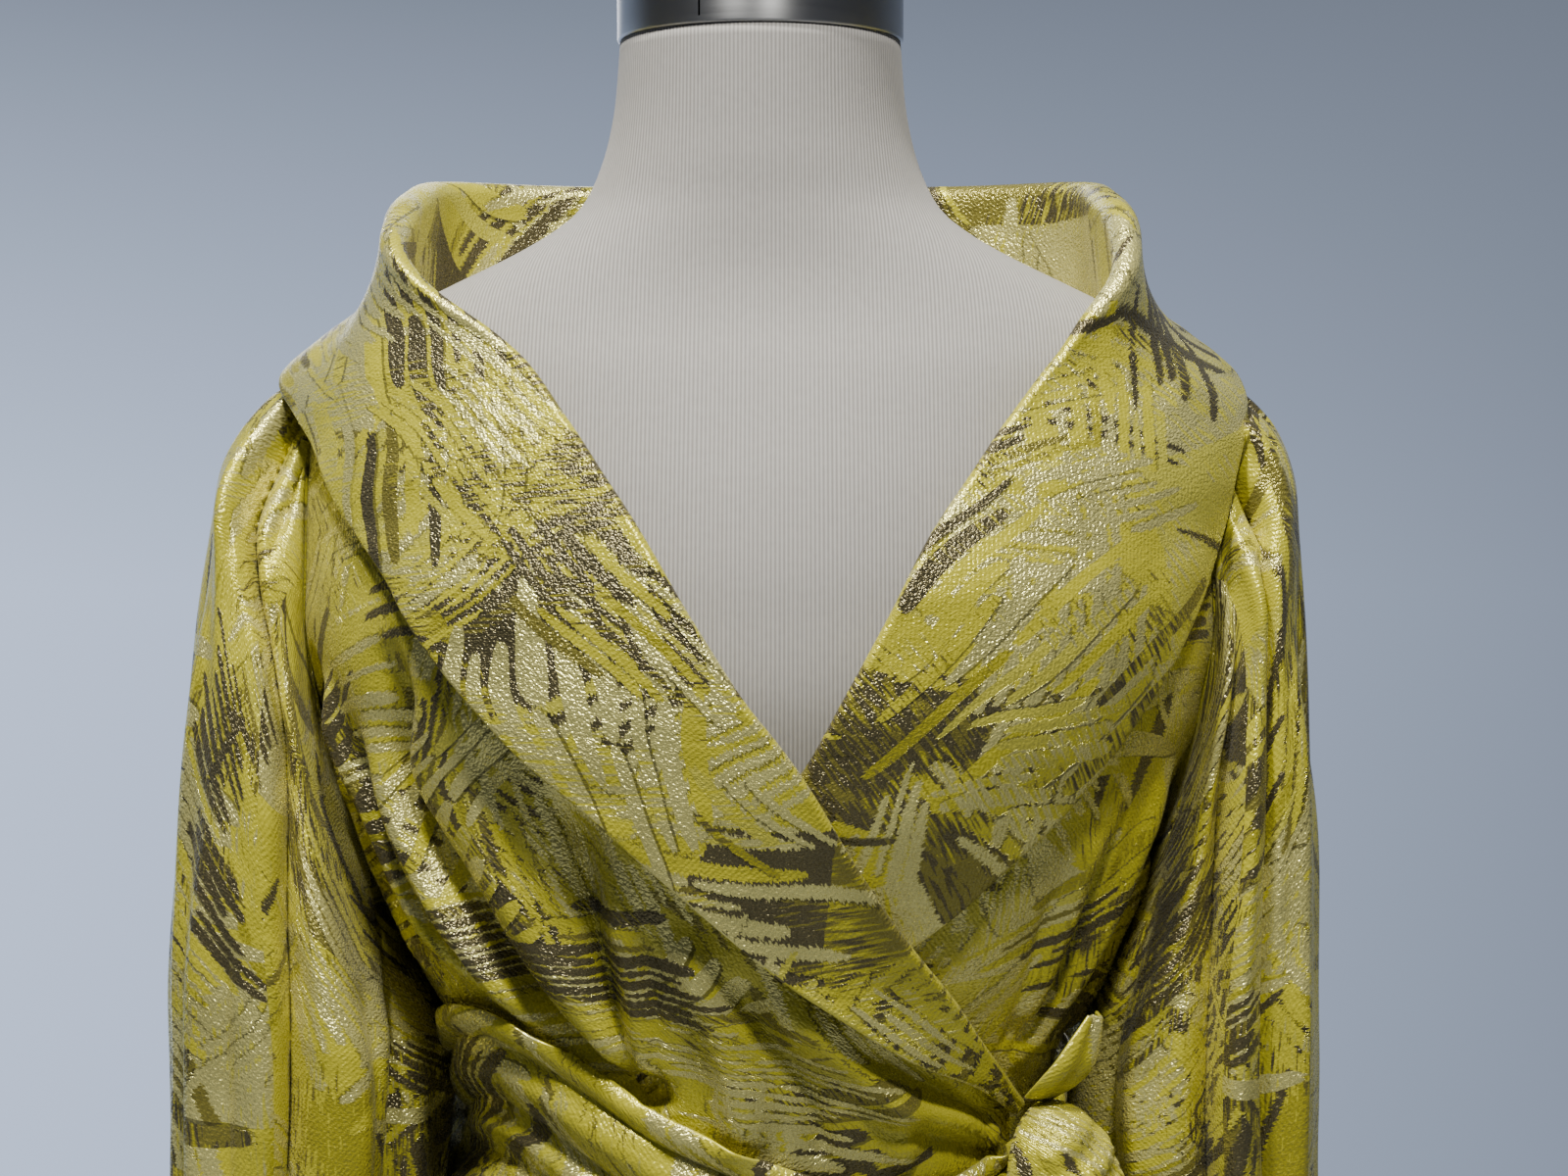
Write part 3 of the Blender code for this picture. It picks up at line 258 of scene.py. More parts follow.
def fold_lift(folds: Sequence[Fold], first: Array, second: Array, reach: tuple[float, float]) -> Array:
    """Adds up how far folds lift the cloth.

    Args:
        folds: the folds that cross this piece.
        first: azimuths of the points.
        second: heights or shares of length of the points.
        reach: metres of cloth for one degree, and for one unit of the second number.

    Returns:
        Heights above the plain surface, in metres.
    """
    steps = 6
    first, second = np.broadcast_arrays(first, second)
    total = np.zeros(first.shape)
    for fold in folds:
        knots = np.array(fold.path)
        turn = (first - knots[0, 0] + 180.0) % 360.0 - 180.0 + knots[0, 0]
        x, y = turn * reach[0], second * reach[1]
        count = steps * (len(knots) - 1)
        line = catmull(knots, np.arange(count + 1) / steps) * np.array(reach)
        near = np.full(first.shape, 1e9)
        side, share = np.zeros(first.shape), np.zeros(first.shape)
        box = np.array([line.min(0), line.max(0)]) + 3.2 * fold.half_width * np.array([[-1.0], [1.0]])
        inside = (x > box[0, 0]) & (x < box[1, 0]) & (y > box[0, 1]) & (y < box[1, 1])
        if not inside.any():
            continue
        x, y = x[inside], y[inside]
        near, side, share = near[inside], side[inside], share[inside]
        for k in range(count):
            (ax, ay), (bx, by) = line[k], line[k + 1]
            dx, dy = bx - ax, by - ay
            t = np.clip(((x - ax) * dx + (y - ay) * dy) / (dx * dx + dy * dy), 0.0, 1.0)
            ox, oy = x - ax - t * dx, y - ay - t * dy
            far = ox * ox + oy * oy
            closer = far < near
            near = np.where(closer, far, near)
            side = np.where(closer, np.sign(dx * oy - dy * ox), side)
            share = np.where(closer, (k + t) / count, share)
        width = fold.half_width * (1 - fold.skew * side)
        edge = smooth(share / max(fold.grow, 1e-6)) * smooth((1 - share) / max(fold.fade, 1e-6))
        total[inside] += fold.height * edge * np.exp(-near / (width * width))
    return total


OVER_FOLDS = rows_of(
    Fold,
    (((-44.5, 1.268), (-44.5, 1.243), (-48.6, 1.214), (-45.4, 1.189), (-40, 1.165), (-33.5, 1.133),
     (-26, 1.109), (-17.5, 1.084)), 0.0066, -0.0106, 0.25, 0.15, 0.1),
    (((-50, 1.236), (-50.6, 1.208), (-47.4, 1.176), (-41.5, 1.148), (-36, 1.128), (-30, 1.11)), 0.0044,
     0.013, 0.4, 0.2, 0.3),
    (((-60, 1.254), (-61, 1.226), (-57.5, 1.197), (-54, 1.172), (-47.5, 1.146), (-42, 1.13)), 0.0048,
     0.0091, 0.3, 0.2, 0.3),
    (((-55, 1.24), (-56, 1.205), (-51.5, 1.178), (-46, 1.152), (-40.5, 1.132)), 0.0034, -0.0054, 0, 0.2,
     0.3),
    (((-67, 1.24), (-67.5, 1.206), (-64, 1.176), (-58, 1.15)), 0.0038, -0.0058, 0, 0.2, 0.3),
    (((-72, 1.226), (-73, 1.196), (-70, 1.168), (-62, 1.142), (-52, 1.128)), 0.0055, 0.0062, 0, 0.2,
     0.3),
    (((-24.8, 1.213), (-23.2, 1.193), (-22.6, 1.171), (-22, 1.143), (-20.8, 1.108), (-17.5, 1.083)),
     0.0062, -0.0106, -0.4, 0.2, 0.06),
    (((-20, 1.19), (-19, 1.16), (-18.2, 1.13), (-17, 1.096)), 0.0085, 0.0072, 0, 0.4, 0.1),
    (((-38, 1.205), (-34.5, 1.175), (-29.5, 1.145), (-24, 1.116), (-20, 1.095)), 0.01, 0.0081, 0, 0.4,
     0.2),
    (((-16, 1.172), (-15, 1.136), (-16, 1.104), (-16.6, 1.086)), 0.004, -0.0045, 0, 0.4, 0.1),
    (((-11, 1.16), (-6, 1.128), (-3, 1.098), (-2, 1.072)), 0.009, 0.0072),
    (((-8, 1.15), (2, 1.118), (9, 1.092), (12, 1.066)), 0.005, -0.0047),
    (((0, 1.138), (12, 1.112), (22, 1.09), (27, 1.062)), 0.008, 0.0065),
    (((8, 1.122), (22, 1.103), (33, 1.09), (45, 1.074)), 0.0042, -0.0052, 0, 0.4, 0.05),
    (((14, 1.098), (27, 1.086), (38, 1.078), (46, 1.068)), 0.0045, 0.0055, 0, 0.4, 0.05),
    (((16, 1.082), (27, 1.076), (38, 1.07), (46, 1.062)), 0.0035, -0.004, 0, 0.4, 0.05),
    (((-80, 1.262), (-74, 1.232), (-66, 1.262)), 0.006, -0.0022),
    (((-34, 1.232), (-33, 1.2), (-30, 1.17)), 0.006, -0.002),
)
UNDER_FOLDS = rows_of(
    Fold,
    (((70, 1.22), (66, 1.17), (60, 1.13), (52, 1.092)), 0.008, 0.0073),
    (((77, 1.222), (76, 1.18), (70, 1.13), (60, 1.094)), 0.005, -0.0047),
    (((60, 1.205), (57, 1.165), (54, 1.13), (51, 1.095)), 0.0038, -0.0035),
    (((52, 1.19), (51, 1.15), (50, 1.11)), 0.007, 0.0046),
    (((46, 1.17), (47, 1.135), (48, 1.1)), 0.0035, -0.0022),
    (((82, 1.18), (80, 1.14), (76, 1.1)), 0.007, 0.0052),
)
BACK_FOLDS = rows_of(
    Fold,
    (((118, 1.3), (132, 1.215), (150, 1.12)), 0.014, 0.0061),
    (((-118, 1.3), (-135, 1.21), (-150, 1.12)), 0.013, 0.0058),
    (((112, 1.19), (118, 1.15), (126, 1.106)), 0.01, 0.0055),
    (((-112, 1.186), (-118, 1.15), (-127, 1.108)), 0.0105, 0.0055),
    (((158, 1.19), (164, 1.15), (166, 1.104)), 0.011, 0.0043),
    (((-160, 1.184), (-163, 1.15), (-168, 1.104)), 0.0105, 0.0046),
    (((126, 1.29), (141, 1.205), (154, 1.126)), 0.005, -0.0038),
    (((-125, 1.288), (-143, 1.205), (-155, 1.128)), 0.005, -0.0038),
    (((138, 1.21), (150, 1.16), (160, 1.106)), 0.0055, 0.0029),
    (((-136, 1.204), (-148, 1.156), (-158, 1.106)), 0.0055, 0.0032),
    (((104, 1.24), (116, 1.23), (134, 1.21)), 0.007, -0.0032),
    (((-103, 1.236), (-118, 1.228), (-135, 1.204)), 0.007, -0.0035),
    (((172, 1.24), (174, 1.17), (178, 1.108)), 0.006, 0.0023),
    (((-168, 1.262), (-172, 1.18), (-174, 1.11)), 0.006, 0.0023),
)
BODICE_REACH = (radians(0.14), 1.0)


# Clearances and sizes that the pieces of cloth share
BODY_WALL, COLLAR_WALL, SLEEVE_WALL, SASH_WALL, CUFF_WALL = 0.0013, 0.0016, 0.0013, 0.0016, 0.0020
COLLAR_SEAM_GAP, LAP_CLEARANCE = 0.0011, 0.0014
HEM_Z, WAIST_Z, UNDERARM_Z, SHOULDER_TIP_Z = 0.018, 1.056, 1.204, 1.375
ARMHOLE_HALF_ANGLE = 20.0
OVERLAP_RISE, OVERLAP_START, OVERLAP_FULL, SKIRT_OVERLAP_SHARE = 0.0094, -72.0, -48.0, 0.36


class Side(Enum):
    """The wearer's side that a piece is on."""

    RIGHT = -1
    LEFT = 1


class Layer(Enum):
    """Which front a piece belongs to: the one that wraps over, or the one beneath."""

    OVER = "over"
    UNDER = "under"

    @property
    def side(self) -> Side:
        """Returns the side that this front comes from."""
        return Side.RIGHT if self is Layer.OVER else Side.LEFT

    @property
    def folds(self) -> tuple[Fold, ...]:
        """Returns this front's folds."""
        return OVER_FOLDS if self is Layer.OVER else UNDER_FOLDS

    def rise(self, deg: Array) -> Array:
        """Returns how far this front lies outside the bodice's plain surface."""
        if self is Layer.UNDER:
            return np.zeros_like(deg)
        return OVERLAP_RISE * smooth((deg - OVERLAP_START) / (OVERLAP_FULL - OVERLAP_START))


def bodice_cloth(deg: Array, z: Array, lift: Array | float, folds: Sequence[Fold] = ()) -> Array:
    """Returns points on the bodice's cloth, moved out by lift and by its folds."""
    out = lift + fold_lift(folds, deg, z, BODICE_REACH)
    return BODICE.point(deg, z) + BODICE.normal(deg, z) * out[..., None]


def armhole_place(turn: Array, side: Side) -> tuple[Array, Array]:
    """Returns azimuth and height on an armhole: 0 is its front and 90 the shoulder tip."""
    z = mix(UNDERARM_Z, SHOULDER_TIP_Z, (1 + np.sin(np.radians(turn))) / 2)
    return side.value * (90.0 - ARMHOLE_HALF_ANGLE * np.cos(np.radians(turn))), z


# Meshes


@dataclass(frozen=True)
class Cut:
    """The flat size of a piece as cut: width and length of its rectangle, and its own area."""

    width: float
    length: float
    area: float


def cloth_lengths(grid: Array) -> tuple[Array, Array]:
    """Measures a grid of points as cloth, so that a woven design keeps its scale on it.

    Args:
        grid: points, rows first.

    Returns:
        Place across, from the middle of each row, and place along, both in metres.
    """
    steps = np.linalg.norm(np.diff(grid, axis=1), axis=-1)
    across = np.concatenate([np.zeros((len(grid), 1)), np.cumsum(steps, axis=1)], axis=1)
    middle = grid[:, grid.shape[1] // 2]
    steps = np.linalg.norm(np.diff(middle, axis=0), axis=-1)
    along = np.concatenate([[0.0], np.cumsum(steps)])
    return across - across[:, -1:] / 2, np.broadcast_to(along[:, None], across.shape)


def new_object(name: str, points: Array, faces: Sequence, corners: Array) -> bpy.types.Object:
    """Makes a mesh object whose face corners carry their place on the cloth.

    Args:
        name: the object's name.
        points: the vertices.
        faces: vertex numbers, three or four a face.
        corners: a place for each face corner in turn, in metres.

    Returns:
        The object, shaded smooth and riding on the part's body.
    """
    mesh = bpy.data.meshes.new(name)
    mesh.from_pydata(points.tolist(), [], faces)
    place = mesh.attributes.new("cloth", "FLOAT_VECTOR", "CORNER")
    place.data.foreach_set("vector", corners.astype(np.float32).ravel())
    mesh.shade_smooth()
    thing = bpy.data.objects.new(name, mesh)
    bpy.context.scene.collection.objects.link(thing)
    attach(thing, BODY)
    return thing


@dataclass(frozen=True)
class Shell:
    """A sheet of cloth with a wall and rounded edges, from a grid of points.

    share is how much of the wall lies on the grid's outer side, and inside_out turns that side round.
    """

    name: str
    wall: float
    closed: bool = False
    inside_out: bool = False
    share: float = 1.0
    turn_of_cloth: float = 0.0
    edge_steps: int = 3

    def build(self, grid: Array) -> bpy.types.Object:
        """Makes the shell.

        Args:
            grid: points, rows first; a closed shell's rows join end to start without repeating a point.

        Returns:
            The mesh object.
        """
        rows, columns = grid.shape[:2]
        ring = np.concatenate([grid, grid[:, :1]], axis=1) if self.closed else grid
        across = self._around(grid)
        down = np.gradient(grid, axis=0)
        normal = unit(np.cross(across, down)) * (-1 if self.inside_out else 1)
        outer = (grid + normal * self.wall * self.share).reshape(-1, 3)
        inner = (grid - normal * self.wall * (1 - self.share)).reshape(-1, 3)
        x, y = cloth_lengths(ring)
        turn = radians(self.turn_of_cloth)
        number = sum(ord(letter) for letter in self.name)
        place = np.stack(
            [x * cos(turn) - y * sin(turn) + 0.37 * (number % 29), x * sin(turn) + y * cos(turn), 0 * x],
            axis=-1,
        )
        cells_across = columns if self.closed else columns - 1
        i, j = np.meshgrid(np.arange(cells_across), np.arange(rows - 1))
        a, b = j * columns + i, j * columns + (i + 1) % columns
        quads = np.stack([a, b, b + columns, a + columns], axis=-1).reshape(-1, 4)
        spots = np.stack([place[j, i], place[j, i + 1], place[j + 1, i + 1], place[j + 1, i]], axis=2)
        spots = spots.reshape(-1, 4, 3)
        points = [outer, inner]
        faces = [quads, quads[:, ::-1] + len(outer)]
        corners = [spots, spots[:, ::-1]]
        used = 2 * len(outer)
        for loop, out in self._edges(rows, columns, across, down):
            strips = [loop]
            middle, half = (outer[loop] + inner[loop]) / 2, (outer[loop] - inner[loop]) / 2
            radius = np.linalg.norm(half, axis=-1, keepdims=True)
            for k in range(1, self.edge_steps):
                swing = pi * k / self.edge_steps
                points.append(middle + half * cos(swing) + unit(out) * radius * sin(swing))
                strips.append(used + np.arange(len(loop)))
                used += len(loop)
            strips.append(loop + len(outer))
            ahead = np.roll(np.arange(len(loop)), -1)
            spot = place[loop // columns, loop % columns]
            for near, far in zip(strips, strips[1:]):
                faces.append(np.stack([near[ahead], near, far, far[ahead]], axis=-1))
                corners.append(np.stack([spot, spot, spot, spot], axis=1))
        faces, corners = np.concatenate(faces), np.concatenate(corners)
        if self.inside_out:
            faces, corners = faces[:, ::-1], corners[:, ::-1]
        return new_object(self.name, np.concatenate(points), faces.tolist(), corners.reshape(-1, 3))

    def _around(self, grid: Array) -> Array:
        """Returns the step along each row at every point."""
        if self.closed:
            return (np.roll(grid, -1, axis=1) - np.roll(grid, 1, axis=1)) / 2
        return np.gradient(grid, axis=1)

    def _edges(self, rows: int, columns: int, across: Array, down: Array) -> list[tuple[Array, Array]]:
        """Lists the loops of edge points, each with the direction that leads off the cloth there."""
        across, down = unit(across).reshape(-1, 3), unit(down).reshape(-1, 3)
        first, last = np.arange(columns), np.arange(columns)[::-1] + (rows - 1) * columns
        if self.closed:
            return [(first, -down[first]), (last, down[last])]
        right = np.arange(1, rows - 1) * columns + columns - 1
        left = np.arange(1, rows - 1)[::-1] * columns
        loop = np.concatenate([first, right, last, left])
        out = np.concatenate([-down[first], across[right], down[last], -across[left]])
        for corner, way in (
            (0, -down[0] - across[0]),
            (columns - 1, -down[first[-1]] + across[first[-1]]),
            (columns + rows - 2, down[last[0]] + across[last[0]]),
            (2 * columns + rows - 3, down[last[-1]] - across[last[-1]]),
        ):
            out[corner] = way
        return [(loop, out)]


def solid(name: str, rings: Array, cloth_start: float = 0.0) -> bpy.types.Object:
    """Makes a closed body from rings of points that run from its top down.

    Args:
        name: the object's name.
        rings: points, one ring a row; the first and last are small and get closed.
        cloth_start: where its cloth starts in the woven design, in metres.

    Returns:
        The mesh object.
    """
    rows, columns = rings.shape[:2]
    i, j = np.meshgrid(np.arange(columns), np.arange(rows - 1))
    a, b = j * columns + i, j * columns + (i + 1) % columns
    quads = np.stack([a, a + columns, b + columns, b], axis=-1).reshape(-1, 4)
    x, y = cloth_lengths(np.concatenate([rings, rings[:, :1]], axis=1))
    place = np.stack([x + cloth_start, y, 0 * x], axis=-1)
    spots = np.stack([place[j, i], place[j + 1, i], place[j + 1, i + 1], place[j, i + 1]], axis=2)
    points = np.concatenate([rings.reshape(-1, 3), rings[:1].mean(1), rings[-1:].mean(1)])
    top, start = rows * columns, (rows - 1) * columns
    fans = [(top, k, (k + 1) % columns) for k in range(columns)]
    fans += [(top + 1, start + (k + 1) % columns, start + k) for k in range(columns)]
    edge = np.repeat(np.concatenate([place[0, :-1], place[-1, :-1]]), 3, axis=0)
    corners = np.concatenate([spots.reshape(-1, 3), edge])
    return new_object(name, points, quads.tolist() + fans, corners)


# Finishes


def linear(code: str) -> tuple[float, float, float, float]:
    """Turns an sRGB hex value such as "b9a32c" to a linear colour."""
    parts = [int(code[k: k + 2], 16) / 255 for k in (0, 2, 4)]
    red, green, blue = (v / 12.92 if v <= 0.04045 else ((v + 0.055) / 1.055) ** 2.4 for v in parts)
    return red, green, blue, 1.0


def feed(tree: bpy.types.NodeTree, node: bpy.types.Node, inputs: dict | Sequence) -> None:
    """Sets or links a node's inputs.

    Args:
        tree: the node tree.
        node: the node.
        inputs: values, sockets, or nodes whose first output is linked, in order or by name or number.
    """
    for key, value in inputs.items() if isinstance(inputs, dict) else enumerate(inputs):
        if isinstance(value, bpy.types.Node):
            value = value.outputs[0]
        if isinstance(value, bpy.types.NodeSocket):
            tree.links.new(value, node.inputs[key])
        else:
            node.inputs[key].default_value = value


def add_node(
    tree: bpy.types.NodeTree, kind: str, inputs: dict | Sequence = (), **settings: object
) -> bpy.types.Node:
    """Adds a node.

    Args:
        tree: the node tree.
        kind: the node's type, without the "ShaderNode" that each starts with.
        inputs: its inputs, as feed takes them.
        **settings: the node's own fields.

    Returns:
        The node.
    """
    made = tree.nodes.new("ShaderNode" + kind)
    for key, value in settings.items():
        setattr(made, key, value)
    feed(tree, made, inputs)
    return made


class Finish:
    """A surface finish; each kind adds its own nodes."""

    name = "finish"
    slot = "brocade"

    def material(self) -> bpy.types.Material:
        """Returns this finish's material, made once."""
        found = bpy.data.materials.get(self.name)
        if found:
            return found
        made = bpy.data.materials.new(self.name)
        made.use_nodes = True
        tree = made.node_tree
        feed(tree, tree.nodes["Principled BSDF"], self.shader(partial(add_node, tree)))
        return made

    def shader(self, add: Adder) -> dict[str, object]:
        """Adds this finish's nodes and returns the shader's inputs."""
        raise NotImplementedError

    def dress(self, thing: bpy.types.Object) -> bpy.types.Object:
        """Gives an object this finish."""
        thing.data.materials.clear()
        thing.data.materials.append(self.material())
        return thing


class Strokes(NamedTuple):
    """One layer of parallel brush-like strokes: direction, pitch, length, cover and palette range."""

    angle_deg: float
    pitch_mm: float
    length_mm: float
    cover: float
    low: float
    high: float
    seed: float


@dataclass(frozen=True)
class MetallicJacquard(Finish):
    """Woven lame jacquard: silk-like yellow ground with floats of gold, taupe and cream metal thread.

    The design is a generic one: uneven clusters of parallel strokes. The metal threads are glossy and
    catch the light in small glints, and the yellow ground stays a soft satin.
    """

    name: str = "metallic_jacquard"
    slot: str = "brocade"
    patch_mm: float = 84.0
    wander_mm: float = 17.0
    layers: tuple[Strokes, ...] = rows_of(
        Strokes, (-24, 8, 74, 0.48, -0.08, 1.05, 0), (38, 6.4, 54, 0.47, 0.12, 1.15, 3.1),
        (82, 9, 66, 0.44, -0.08, 0.9, 7.7), (-62, 5.8, 42, 0.43, -0.05, 1.1, 5.3),
    )
    # Edges of the design step from thread to thread, which shows as teeth along the weft
    tooth_mm: float = 2.6
    thread_mm: float = 0.8
    # Dry ends of a stroke break up into hairs about 1.6 mm wide and 14 mm long
    hairs_per_m: tuple[float, float, float] = (620.0, 70.0, 0.0)
    # Real twill lines lie about 0.5 mm apart; they are drawn at 1.7 mm so that they show
    twill_mm: float = 1.7
    twill_deg: float = 38.0
    glint_mm: float = 1.4
    crumple_mm: float = 24.0
    # Dark olive of the edge along one side of some strokes: partly the weave's own edge line, partly painted
    # shadow of the raised stroke
    outline_and_shadow: str = "454128"
    # Where each colour starts, the colour, and how metallic its threads are
    palette: tuple[tuple[float, str, float], ...] = (
        (0.00, "746c4b", 0.70), (0.21, "938b3e", 0.50), (0.28, "b8b033", 0.35), (0.34, "d1c93a", 0.24),
        (0.61, "dcd554", 0.38), (0.69, "ede68f", 0.60),
    )

    def shader(self, add: Adder) -> dict[str, object]:
        """Adds the woven design, its threads, its glints and the cloth's fine crumple."""
        place = add("Attribute", attribute_name="cloth").outputs["Vector"]
        level, shade = self.design(add, place)
        colours, metal = (add("ValToRGB", [level]) for _ in range(2))
        self.set_stops(colours, [(at, linear(code)) for at, code, _ in self.palette])
        self.set_stops(metal, [(at, (share, share, share, 1.0)) for at, _, share in self.palette])
        toned = add("Mix", {0: shade, 6: colours, 7: linear(self.outline_and_shadow)}, data_type="RGBA")
        turned = add(
            "VectorRotate", {"Vector": place, "Angle": radians(self.twill_deg)}, rotation_type="Z_AXIS"
        )
        twill = add(
            "TexWave", {"Vector": turned, "Scale": 100 * pi / self.twill_mm, "Distortion": 0.6},
            wave_type="BANDS", bands_direction="X", wave_profile="SIN",
        ).outputs[1]
        glint = add(
            "TexNoise", {"Vector": place, "Scale": 1000 / self.glint_mm, "Detail": 1, "Roughness": 0.7}
        )
        cloud = add("TexNoise", {"Vector": place, "Scale": 30, "Detail": 2})
        twill_tone = add("MapRange", [twill, 0, 1, 0.94, 1.04])
        tone = add("MapRange", [cloud, 0.3, 0.7, 0.84, 1.12])
        tone = add("Math", [tone, twill_tone], operation="MULTIPLY")
        final = add("VectorMath", {0: toned.outputs[2], "Scale": tone}, operation="SCALE")
        gloss = add("MapRange", [glint, 0.3, 0.7, 0.14, 0.38])
        crumple = add(
            "TexNoise",
            {"Vector": place, "Scale": 1000 / self.crumple_mm, "Detail": 3, "Roughness": 0.55},
        )
        sparkle = add("Math", [metal, 9, 0.6], operation="MULTIPLY_ADD")
        threads = add("Math", [twill, 0.5], operation="MULTIPLY")
        threads = add("Math", [glint, sparkle, threads], operation="MULTIPLY_ADD")
        fine = add("Bump", {"Height": threads, "Strength": 0.6, "Distance": 0.00027})
        soft = add("Bump", {"Height": crumple, "Strength": 0.6, "Distance": 0.0022, "Normal": fine})
        return {
            "Base Color": final, "Metallic": metal, "Roughness": gloss, "Normal": soft,
            "Sheen Weight": 0.08,
        }

    def design(
        self, add: Adder, place: bpy.types.NodeSocket
    ) -> tuple[bpy.types.Node, bpy.types.Node]:
        """Adds the design.

        Args:
            add: adds a node to the material.
            place: place on the cloth, in metres.

        Returns:
            A node with the place in the palette, and one with the share of the dark stroke edge, partly the
            weave's own edge line and partly painted shadow.
        """
        flat = {"noise_dimensions": "2D"}
        threads = (500 / self.tooth_mm, 1000 / self.thread_mm, 0)
        teeth = add("VectorMath", [place, threads], operation="MULTIPLY")
        teeth = add("TexNoise", {"Vector": teeth, "Scale": 1, "Detail": 1}, **flat)
        reach = self.tooth_mm / 1000
        teeth = add("CombineXYZ", [add("MapRange", [teeth, 0, 1, -reach, reach])])
        wander = add("TexNoise", {"Vector": place, "Scale": 9, "Detail": 1}, **flat).outputs["Color"]
        moved = add("VectorMath", [wander, (0.5, 0.5, 0.5)], operation="SUBTRACT")
        moved = add("VectorMath", {0: moved, "Scale": self.wander_mm * 0.002}, operation="SCALE")
        drawn = add("VectorMath", [place, moved], operation="ADD")
        drawn = add("VectorMath", [drawn, teeth], operation="ADD")
        level, shade = self.ground(add, drawn), None
        for layer in self.layers:
            mask, stroke, edge = self.strokes(add, drawn, layer)
            level = add("Mix", {0: mask, 2: level, 3: stroke})
            if shade is None:
                shade = edge
            else:
                kept = add("Math", [1, mask], operation="SUBTRACT")
                shade = add("Math", [shade, kept], operation="MULTIPLY")
                shade = add("Math", [shade, edge], operation="MAXIMUM")
        hairs = add("VectorMath", [place, self.hairs_per_m], operation="MULTIPLY")
        hairs = add("TexNoise", {"Vector": hairs, "Scale": 1, "Detail": 1}, **flat)
        hairs = add("Math", [hairs, 0.5], operation="SUBTRACT")
        dry = add("TexNoise", {"Vector": drawn, "Scale": 22, "Detail": 1}, **flat)
        dry = add("MapRange", [dry, 0.46, 0.66, 0.06, 0.9])
        return add("Math", [hairs, dry, level], operation="MULTIPLY_ADD"), shade

    def ground(self, add: Adder, drawn: bpy.types.Node) -> bpy.types.Node:
        """Adds the ground colour of uneven patches, mostly yellow."""
        patch = add(
            "TexVoronoi", {"Vector": drawn, "Scale": 1000 / self.patch_mm * 1.2},
            voronoi_dimensions="2D",
        )
        pick = add("SeparateColor", [patch.outputs["Color"]])
        return add("MapRange", [pick.outputs[1], 0, 1, 0.17, 0.8])

    def strokes(
        self, add: Adder, drawn: bpy.types.Node, layer: Strokes
    ) -> tuple[bpy.types.Node, bpy.types.Node, bpy.types.Node]:
        """Adds clusters of parallel strokes; a stroke is drawn whole or left out.

        Args:
            add: adds a node to the material.
            drawn: place on the design.
            layer: sizes and direction of the strokes.

        Returns:
            Nodes with the strokes' mask, their place in the palette and the mask of their dark edge, a band
            beside one side of each stroke that is partly painted shadow.
        """
        pitch, length, seed = layer.pitch_mm, layer.length_mm, layer.seed
        turned = add(
            "VectorRotate", {"Vector": drawn, "Angle": radians(layer.angle_deg)},
            rotation_type="Z_AXIS",
        )
        scaled = add("VectorMath", [turned, (1000 / pitch, 1000 / length, 0)], operation="MULTIPLY")
        across, along, _ = add("SeparateXYZ", [scaled]).outputs
        bar = add("Math", [across], operation="FLOOR")
        slide = add(
            "TexWhiteNoise", {"Vector": add("CombineXYZ", [bar, seed])}, noise_dimensions="2D"
        )
        along = add("Math", [slide, along], operation="ADD")
        stroke = add("Math", [along], operation="FLOOR")
        start = add("Math", [stroke, slide], operation="SUBTRACT")
        fate = add(
            "TexWhiteNoise", {"Vector": add("CombineXYZ", [bar, stroke, seed])}, noise_dimensions="3D"
        )
        fate = add("SeparateColor", [fate.outputs["Color"]]).outputs
        middle = add("CombineXYZ", [bar, start, seed])
        size = (pitch / self.patch_mm, length / self.patch_mm, 9)
        middle = add("VectorMath", [middle, size], operation="MULTIPLY")
        cluster = add("TexNoise", {"Vector": middle, "Scale": 1, "Detail": 0})
        cluster = add("SeparateColor", [cluster.outputs["Color"]]).outputs
        here = add("Math", [cluster[0], layer.cover], operation="LESS_THAN")
        off_end = add("Math", [along], operation="FRACT")
        off_end = add("Math", [off_end, 0.5], operation="SUBTRACT")
        off_end = add("Math", [off_end, off_end], operation="MULTIPLY")
        taper = add("Math", [off_end, -4.2, 1], operation="MULTIPLY_ADD", use_clamp=True)
        taper = add("Math", [taper, 0.25], operation="POWER")
        width = add("MapRange", [fate[0], 0, 1, 0.22, 0.5])
        width = add("Math", [width, taper], operation="MULTIPLY")
        across = add("Math", [across], operation="FRACT")
        masks = []
        # The second mask is widened and shifted to one side; the band it adds beside the stroke is the dark
        # edge, partly painted shadow
        for shift, grow in ((0.5, 0.0), (0.57, 0.06)):
            off = add("Math", [across, shift], operation="SUBTRACT")
            off = add("Math", [off], operation="ABSOLUTE")
            wide = add("Math", [width, grow], operation="ADD")
            inside = add("Math", [wide, off], operation="GREATER_THAN")
            masks.append(add("Math", [inside, here], operation="MULTIPLY"))
        mask, grown = masks
        edge = add("Math", [grown, mask], operation="SUBTRACT")
        lined = add("MapRange", [fate[2], 0.45, 0.6, 0, 0.7])
        edge = add("Math", [edge, lined], operation="MULTIPLY", use_clamp=True)
        tint = add("MapRange", [cluster[1], 0.3, 0.7, layer.low, layer.high])
        tint = add("Math", [fate[1], 0.35, tint], operation="MULTIPLY_ADD")
        return mask, add("Math", [tint, 0.175], operation="SUBTRACT"), edge

    @staticmethod
    def set_stops(ramp: bpy.types.Node, stops: Sequence[tuple[float, tuple]]) -> None:
        """Sets a ramp to even steps of colour that start at given places."""
        ramp.color_ramp.interpolation = "CONSTANT"
        elements = ramp.color_ramp.elements
        while len(elements) > 1:
            elements.remove(elements[-1])
        elements[0].position, elements[0].color = stops[0]
        for place, colour in stops[1:]:
            elements.new(place).color = colour


